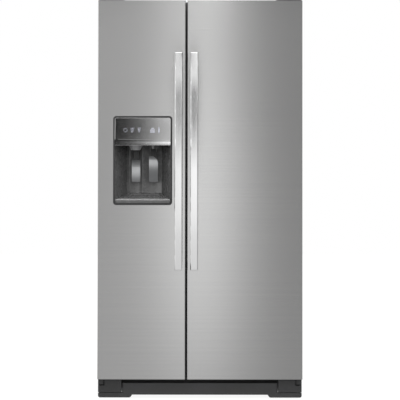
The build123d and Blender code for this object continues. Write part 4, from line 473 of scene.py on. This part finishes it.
add_finish("brass_fitting", moulded, (0.52, 0.37, 0.15), (0.64, 0.48, 0.22),
           (0.24, 0.36), 700.0, 0.00003, metallic=1.0)

# Nodes that are painted otherwise than the rest of their slot; the drip tray's finish has a painted
# highlight along its upper edge
NODE_FINISHES = {"door_hinges": "steel_black", "drip_tray": "tray_satin"}

# Height of a pad's upper edge, depth of its arm, and height and spread of its painted highlight
LEVERS = {"ice_lever": (1.0617, -0.294, 1.014, 0.022), "water_lever": (1.0787, -0.2993, 1.05, 0.018)}


def dress_nodes():
    """Gives each carried node the finish of its slot."""
    for row in frame["record"]["subparts"]:
        node = frame["nodes"][row["node"]]
        slot = row["material_slot"]
        if slot == "lever_grey":
            finish = lever_with_painted_highlight(row["node"] + "_finish", *LEVERS[row["node"]])
        else:
            finish = FINISHES[NODE_FINISHES.get(row["node"], slot)]
        for holder in node.material_slots:
            holder.material = finish


# Symbols
def arc(centre, radius, start, stop, steps):
    """Points on an arc, with angles in degrees."""
    turns = [radians(start + (stop - start) * index / steps) for index in range(steps + 1)]
    return [(centre[0] + radius * cos(turn), centre[1] + radius * sin(turn)) for turn in turns]


def panel_point(x, z, proud):
    """A point over the slanted face of the control panel."""
    y = DOOR_FACE - PANEL_TOP_PROUD - PANEL_SLOPE * (PANEL_TOP - z)
    normal = Vector((0.0, -1.0, PANEL_SLOPE)).normalized()
    return Vector((x, y, z)) + normal * proud


def legend(name, x, outline, hole=None):
    """A thin symbol on the panel from an outline about its middle, with a hole of as many points."""
    mesh = bmesh.new()
    rings = []
    for points in (outline, hole) if hole else (outline,):
        for proud in (LEGEND_PROUD, -LEGEND_SEAT):
            rings.append([mesh.verts.new(panel_point(x + u, LEGEND_Z + v, proud)) for u, v in points])
    walls = [(rings[0], rings[1])]
    if hole:
        walls += [(rings[3], rings[2]), (rings[2], rings[0]), (rings[1], rings[3])]
    else:
        mesh.faces.new(rings[0])
        mesh.faces.new(rings[1][::-1])
    for first, second in walls:
        for index in range(len(first)):
            after = (index + 1) % len(first)
            mesh.faces.new((first[index], first[after], second[after], second[index]))
    bmesh.ops.recalc_face_normals(mesh, faces=mesh.faces)
    data = bpy.data.meshes.new(name)
    mesh.to_mesh(data)
    mesh.free()
    piece = bpy.data.objects.new(name, data)
    bpy.context.scene.collection.objects.link(piece)
    data.materials.append(FINISHES["legend"])
    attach(piece, "freezer_door")


def build_legends():
    outer, inner = [arc((0.0, 0.0), radius, 0, 360, RING_STEPS)[:-1] for radius in RING_RADII]
    legend("legend_ring", RING_X, outer, inner)
    glass = arc((-GLASS_FOOT, GLASS_BASE), GLASS_CORNER, 180, 270, GLASS_STEPS)
    glass += arc((GLASS_FOOT, GLASS_BASE), GLASS_CORNER, 270, 360, GLASS_STEPS)
    legend("legend_glass", GLASS_X, glass + [(GLASS_HALF, RIM_Z), (-GLASS_HALF, RIM_Z)])
    drop = arc((0.0, DROP_BASE), DROP_RADIUS, 180, 360, DROP_STEPS)
    legend("legend_drop", DROP_X, drop + [(DROP_HALF, RIM_Z), (-DROP_HALF, RIM_Z)])
    lock = [(-LOCK_HALF, LOCK_BASE), (LOCK_HALF, LOCK_BASE), (LOCK_HALF, LOCK_TOP), (BOW_RADIUS, LOCK_TOP)]
    lock += arc((0.0, BOW_Z), BOW_RADIUS, 0, 180, BOW_STEPS)
    legend("legend_lock", LOCK_X, lock + [(-BOW_RADIUS, LOCK_TOP), (-LOCK_HALF, LOCK_TOP)])
    right = arc((-LEAF_OFFSET, 0.0), LEAF_RADIUS, -LEAF_ANGLE, LEAF_ANGLE, LEAF_STEPS)
    left = arc((LEAF_OFFSET, 0.0), LEAF_RADIUS, 180 - LEAF_ANGLE, 180 + LEAF_ANGLE, LEAF_STEPS)
    legend("legend_leaf", LEAF_X, right + left[1:-1])


# Studio
def seen_rays(tree):
    """One for a ray that shows the background: straight, mirrored or through glass."""
    path = add(tree, "ShaderNodeLightPath").outputs
    mirrored = calculate(tree, "MAXIMUM", path["Is Glossy Ray"], path["Is Transmission Ray"])
    return calculate(tree, "MAXIMUM", path["Is Camera Ray"], mirrored)


def build_world():
    world = bpy.data.worlds.new("studio")
    bpy.context.scene.world = world
    world.use_nodes = True
    tree = world.node_tree
    background = tree.nodes["Background"]
    background.inputs["Color"].default_value = WHITE
    more = product(tree, seen_rays(tree), 1.0 - AMBIENT)
    tree.links.new(total(tree, more, AMBIENT), background.inputs["Strength"])


def stage_plane(name, corners, material):
    mesh = bpy.data.meshes.new(name)
    mesh.from_pydata(corners, [], [tuple(range(len(corners)))])
    plane = bpy.data.objects.new(name, mesh)
    bpy.context.scene.collection.objects.link(plane)
    mesh.materials.append(material)
    return plane


def mirrored_plane(name, corners, material):
    """A piece of the stage that only mirrored rays see."""
    plane = stage_plane(name, corners, material)
    plane.visible_camera = False
    plane.visible_diffuse = False
    plane.visible_transmission = False
    plane.visible_shadow = False


def under_base(tree):
    """The shade on the floor under the base, full in its middle."""
    spot = axes(tree, place(tree))
    low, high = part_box("base_frame")
    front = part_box("toe_grille")[0].y
    left = spread(tree, spot["X"], 0.0, 1.0, *[low.x + inset for inset in UNDER_SIDES])
    right = spread(tree, spot["X"], 1.0, 0.0, *[high.x - inset for inset in reversed(UNDER_SIDES)])
    near = spread(tree, spot["Y"], 0.0, 1.0, *[front + inset for inset in UNDER_FRONT])
    far = spread(tree, spot["Y"], 1.0, 0.0, *[high.y - inset for inset in reversed(UNDER_BACK)])
    return product(tree, left, right, near, far, UNDER_SHADE)


def build_floor():
    material, tree, shader = new_material("floor")
    shader.inputs["Base Color"].default_value = (*grey(FLOOR_ALBEDO), 1.0)
    shader.inputs["Roughness"].default_value = FLOOR_ROUGHNESS
    shader.inputs["Specular IOR Level"].default_value = 0.0
    shader.inputs["Emission Color"].default_value = WHITE
    glow = product(tree, seen_rays(tree), remainder(tree, under_base(tree)), FLOOR_GLOW)
    tree.links.new(glow, shader.inputs["Emission Strength"])
    half = FLOOR_SIZE / 2
    stage_plane("floor", [(-half, -half, 0), (half, -half, 0), (half, half, 0), (-half, half, 0)], material)


def door_view(tree):
    """Where the camera sees a point of the sweep mirrored on the plane of the doors: across and up."""
    spot = axes(tree, place(tree))
    mirrored_camera = DOOR_FACE + CAMERA_DISTANCE
    reach = calculate(tree, "SUBTRACT", mirrored_camera, spot["Y"])
    scale = calculate(tree, "DIVIDE", CAMERA_DISTANCE, reach)
    rise = calculate(tree, "SUBTRACT", spot["Z"], CAMERA_HEIGHT)
    return product(tree, spot["X"], scale), total(tree, product(tree, rise, scale), CAMERA_HEIGHT)


def paper_glow(tree, across, up):
    """Grey paper, darker to the right, with a paler crown and a dark near floor on the left."""
    to_right = spread(tree, across, 0.0, 1.0, *SWEEP_TURN)
    step = calculate(tree, "SUBTRACT", spread(tree, up, *SWEEP_RIGHT, *SWEEP_FALL), SWEEP_LEFT)
    level = total(tree, product(tree, to_right, step), SWEEP_LEFT)
    crown = total(tree, product(tree, bell(tree, up, CROWN_Z, CROWN_WIDTH), CROWN_GAIN), 1.0)
    near = spread(tree, across, *NEAR_LEVELS, *NEAR_TURN)
    far = product(tree, remainder(tree, near), spread(tree, up, 0.0, 1.0, *NEAR_FLOOR))
    return product(tree, level, crown, total(tree, near, far))


def strip_glow(tree, across, up):
    """Strip of light down the middle, narrower with the height and brightest at half the height."""
    width = spread(tree, up, *STRIP_WIDTHS, *NARROWING)
    foot = spread(tree, up, FOOT_LEVEL, 1.0, *STRIP_FOOT)
    height = bell(tree, up, STRIP_Z, STRIP_SPREAD)
    return product(tree, bell(tree, across, STRIP_X, width), height, foot, STRIP_LEVEL)


def lamp_glow(tree, across, up, seam):
    """Lamp over the paper, with a flare, and dimmer where the handles mirror it."""
    base = spread(tree, up, TOP_LAMP_LEVEL, TOP_LAMP_LEVEL * TOP_LAMP_LOW, *TOP_LAMP_FALL)
    flare = product(tree, bell(tree, up, FLARE_Z, FLARE_SPREAD), TOP_LAMP_LEVEL * FLARE_GAIN)
    rise = spread(tree, up, 0.0, TOP_LAMP_LEVEL * TOP_LAMP_HIGH, *TOP_LAMP_RISE)
    end = spread(tree, up, 1.0, 0.0, *TOP_LAMP_END)
    shade = spread(tree, across, *TOP_LAMP_DIPS, SEAM_LEFT[1], SEAM_RIGHT[0])
    dip = remainder(tree, product(tree, seam, shade))
    level = total(tree, base, flare, rise)
    return product(tree, bell(tree, across, STRIP_X, TOP_LAMP_WIDTH), end, dip, level)


def build_sweep():
    """A grey paper sweep with a strip of light down its middle, which only mirrored rays see."""
    material, tree, shader = new_material("studio_sweep")
    across, up = door_view(tree)
    above = spread(tree, up, 0.0, 1.0, *SWEEP_END)
    seam_left = spread(tree, across, 0.0, 1.0, *SEAM_LEFT)
    seam = product(tree, seam_left, spread(tree, across, 1.0, 0.0, *SEAM_RIGHT))
    paper = total(tree, paper_glow(tree, across, up), strip_glow(tree, across, up))
    lamp = product(tree, lamp_glow(tree, across, up, seam), above)
    middle = total(tree, product(tree, paper, remainder(tree, above)), lamp)
    side = spread(tree, across, SIDE_LEVEL, 0.0, *SIDE_CARD)
    shader.inputs["Base Color"].default_value = BLACK
    shader.inputs["Specular IOR Level"].default_value = 0.0
    shader.inputs["Emission Color"].default_value = WHITE
    tree.links.new(total(tree, middle, side), shader.inputs["Emission Strength"])
    fold = [(-SWEEP_HALF, SWEEP_Y, SWEEP_LIFT), (SWEEP_HALF, SWEEP_Y, SWEEP_LIFT)]
    top = [(SWEEP_HALF, SWEEP_Y, SWEEP_HEIGHT), (-SWEEP_HALF, SWEEP_Y, SWEEP_HEIGHT)]
    near = [(SWEEP_HALF, SWEEP_NEAR_Y, SWEEP_LIFT), (-SWEEP_HALF, SWEEP_NEAR_Y, SWEEP_LIFT)]
    mirrored_plane("sweep_wall", fold + top, material)
    mirrored_plane("sweep_ground", fold + near, material)


def build_flags():
    """Two soft dark flags in front of the doors, which the handles mirror when seen from the front."""
    y = DOOR_FACE - FLAG_DISTANCE
    low, high = FLAG_FOOT[0], FLAG_TOP[1]
    for index, (left, right) in enumerate(FLAG_SPANS):
        material, tree, shader = new_material(f"studio_flag_{index}")
        height = axes(tree, place(tree))["Z"]
        foot = spread(tree, height, 0.0, 1.0, *FLAG_FOOT)
        top = spread(tree, height, 1.0, 0.0, *FLAG_TOP)
        shader.inputs["Base Color"].default_value = BLACK
        shader.inputs["Specular IOR Level"].default_value = 0.0
        tree.links.new(product(tree, foot, top, FLAG_SHADES[index]), shader.inputs["Alpha"])
        corners = [(left, y, low), (right, y, low), (right, y, high), (left, y, high)]
        mirrored_plane(f"flag_{index}", corners, material)


def soft_lamp(name, spot, aim, size, radiance):
    data = bpy.data.lights.new(name, "AREA")
    data.shape = "RECTANGLE"
    data.size, data.size_y = size
    data.energy = radiance * pi * size[0] * size[1]
    lamp = bpy.data.objects.new(name, data)
    bpy.context.scene.collection.objects.link(lamp)
    lamp.location = spot
    lamp.rotation_euler = (Vector(aim) - Vector(spot)).to_track_quat("-Z", "Y").to_euler()
    lamp.visible_camera = False
    return lamp


def build_lights():
    """A softbox in front that is not mirrored, and a wide lamp overhead that is."""
    front = soft_lamp("softbox", SOFTBOX_PLACE, SOFTBOX_AIM, SOFTBOX_SIZE, SOFTBOX_RADIANCE)
    front.visible_glossy = False
    below = (OVERHEAD_PLACE[0], OVERHEAD_PLACE[1], 0.0)
    soft_lamp("overhead", OVERHEAD_PLACE, below, OVERHEAD_SIZE, OVERHEAD_RADIANCE)


def build_camera():
    data = bpy.data.cameras.new("camera")
    data.sensor_width = SENSOR
    data.lens = LENS
    data.clip_end = CAMERA_REACH
    camera = bpy.data.objects.new("camera", data)
    bpy.context.scene.collection.objects.link(camera)
    camera.location = (CAMERA_X, DOOR_FACE - CAMERA_DISTANCE, CAMERA_HEIGHT)
    camera.rotation_euler = (radians(90.0 + CAMERA_PITCH), radians(CAMERA_ROLL), 0.0)
    bpy.context.scene.camera = camera


dress_nodes()
build_legends()
build_world()
build_floor()
build_sweep()
build_flags()
build_lights()
build_camera()
bpy.context.scene.view_settings.view_transform = "Standard"
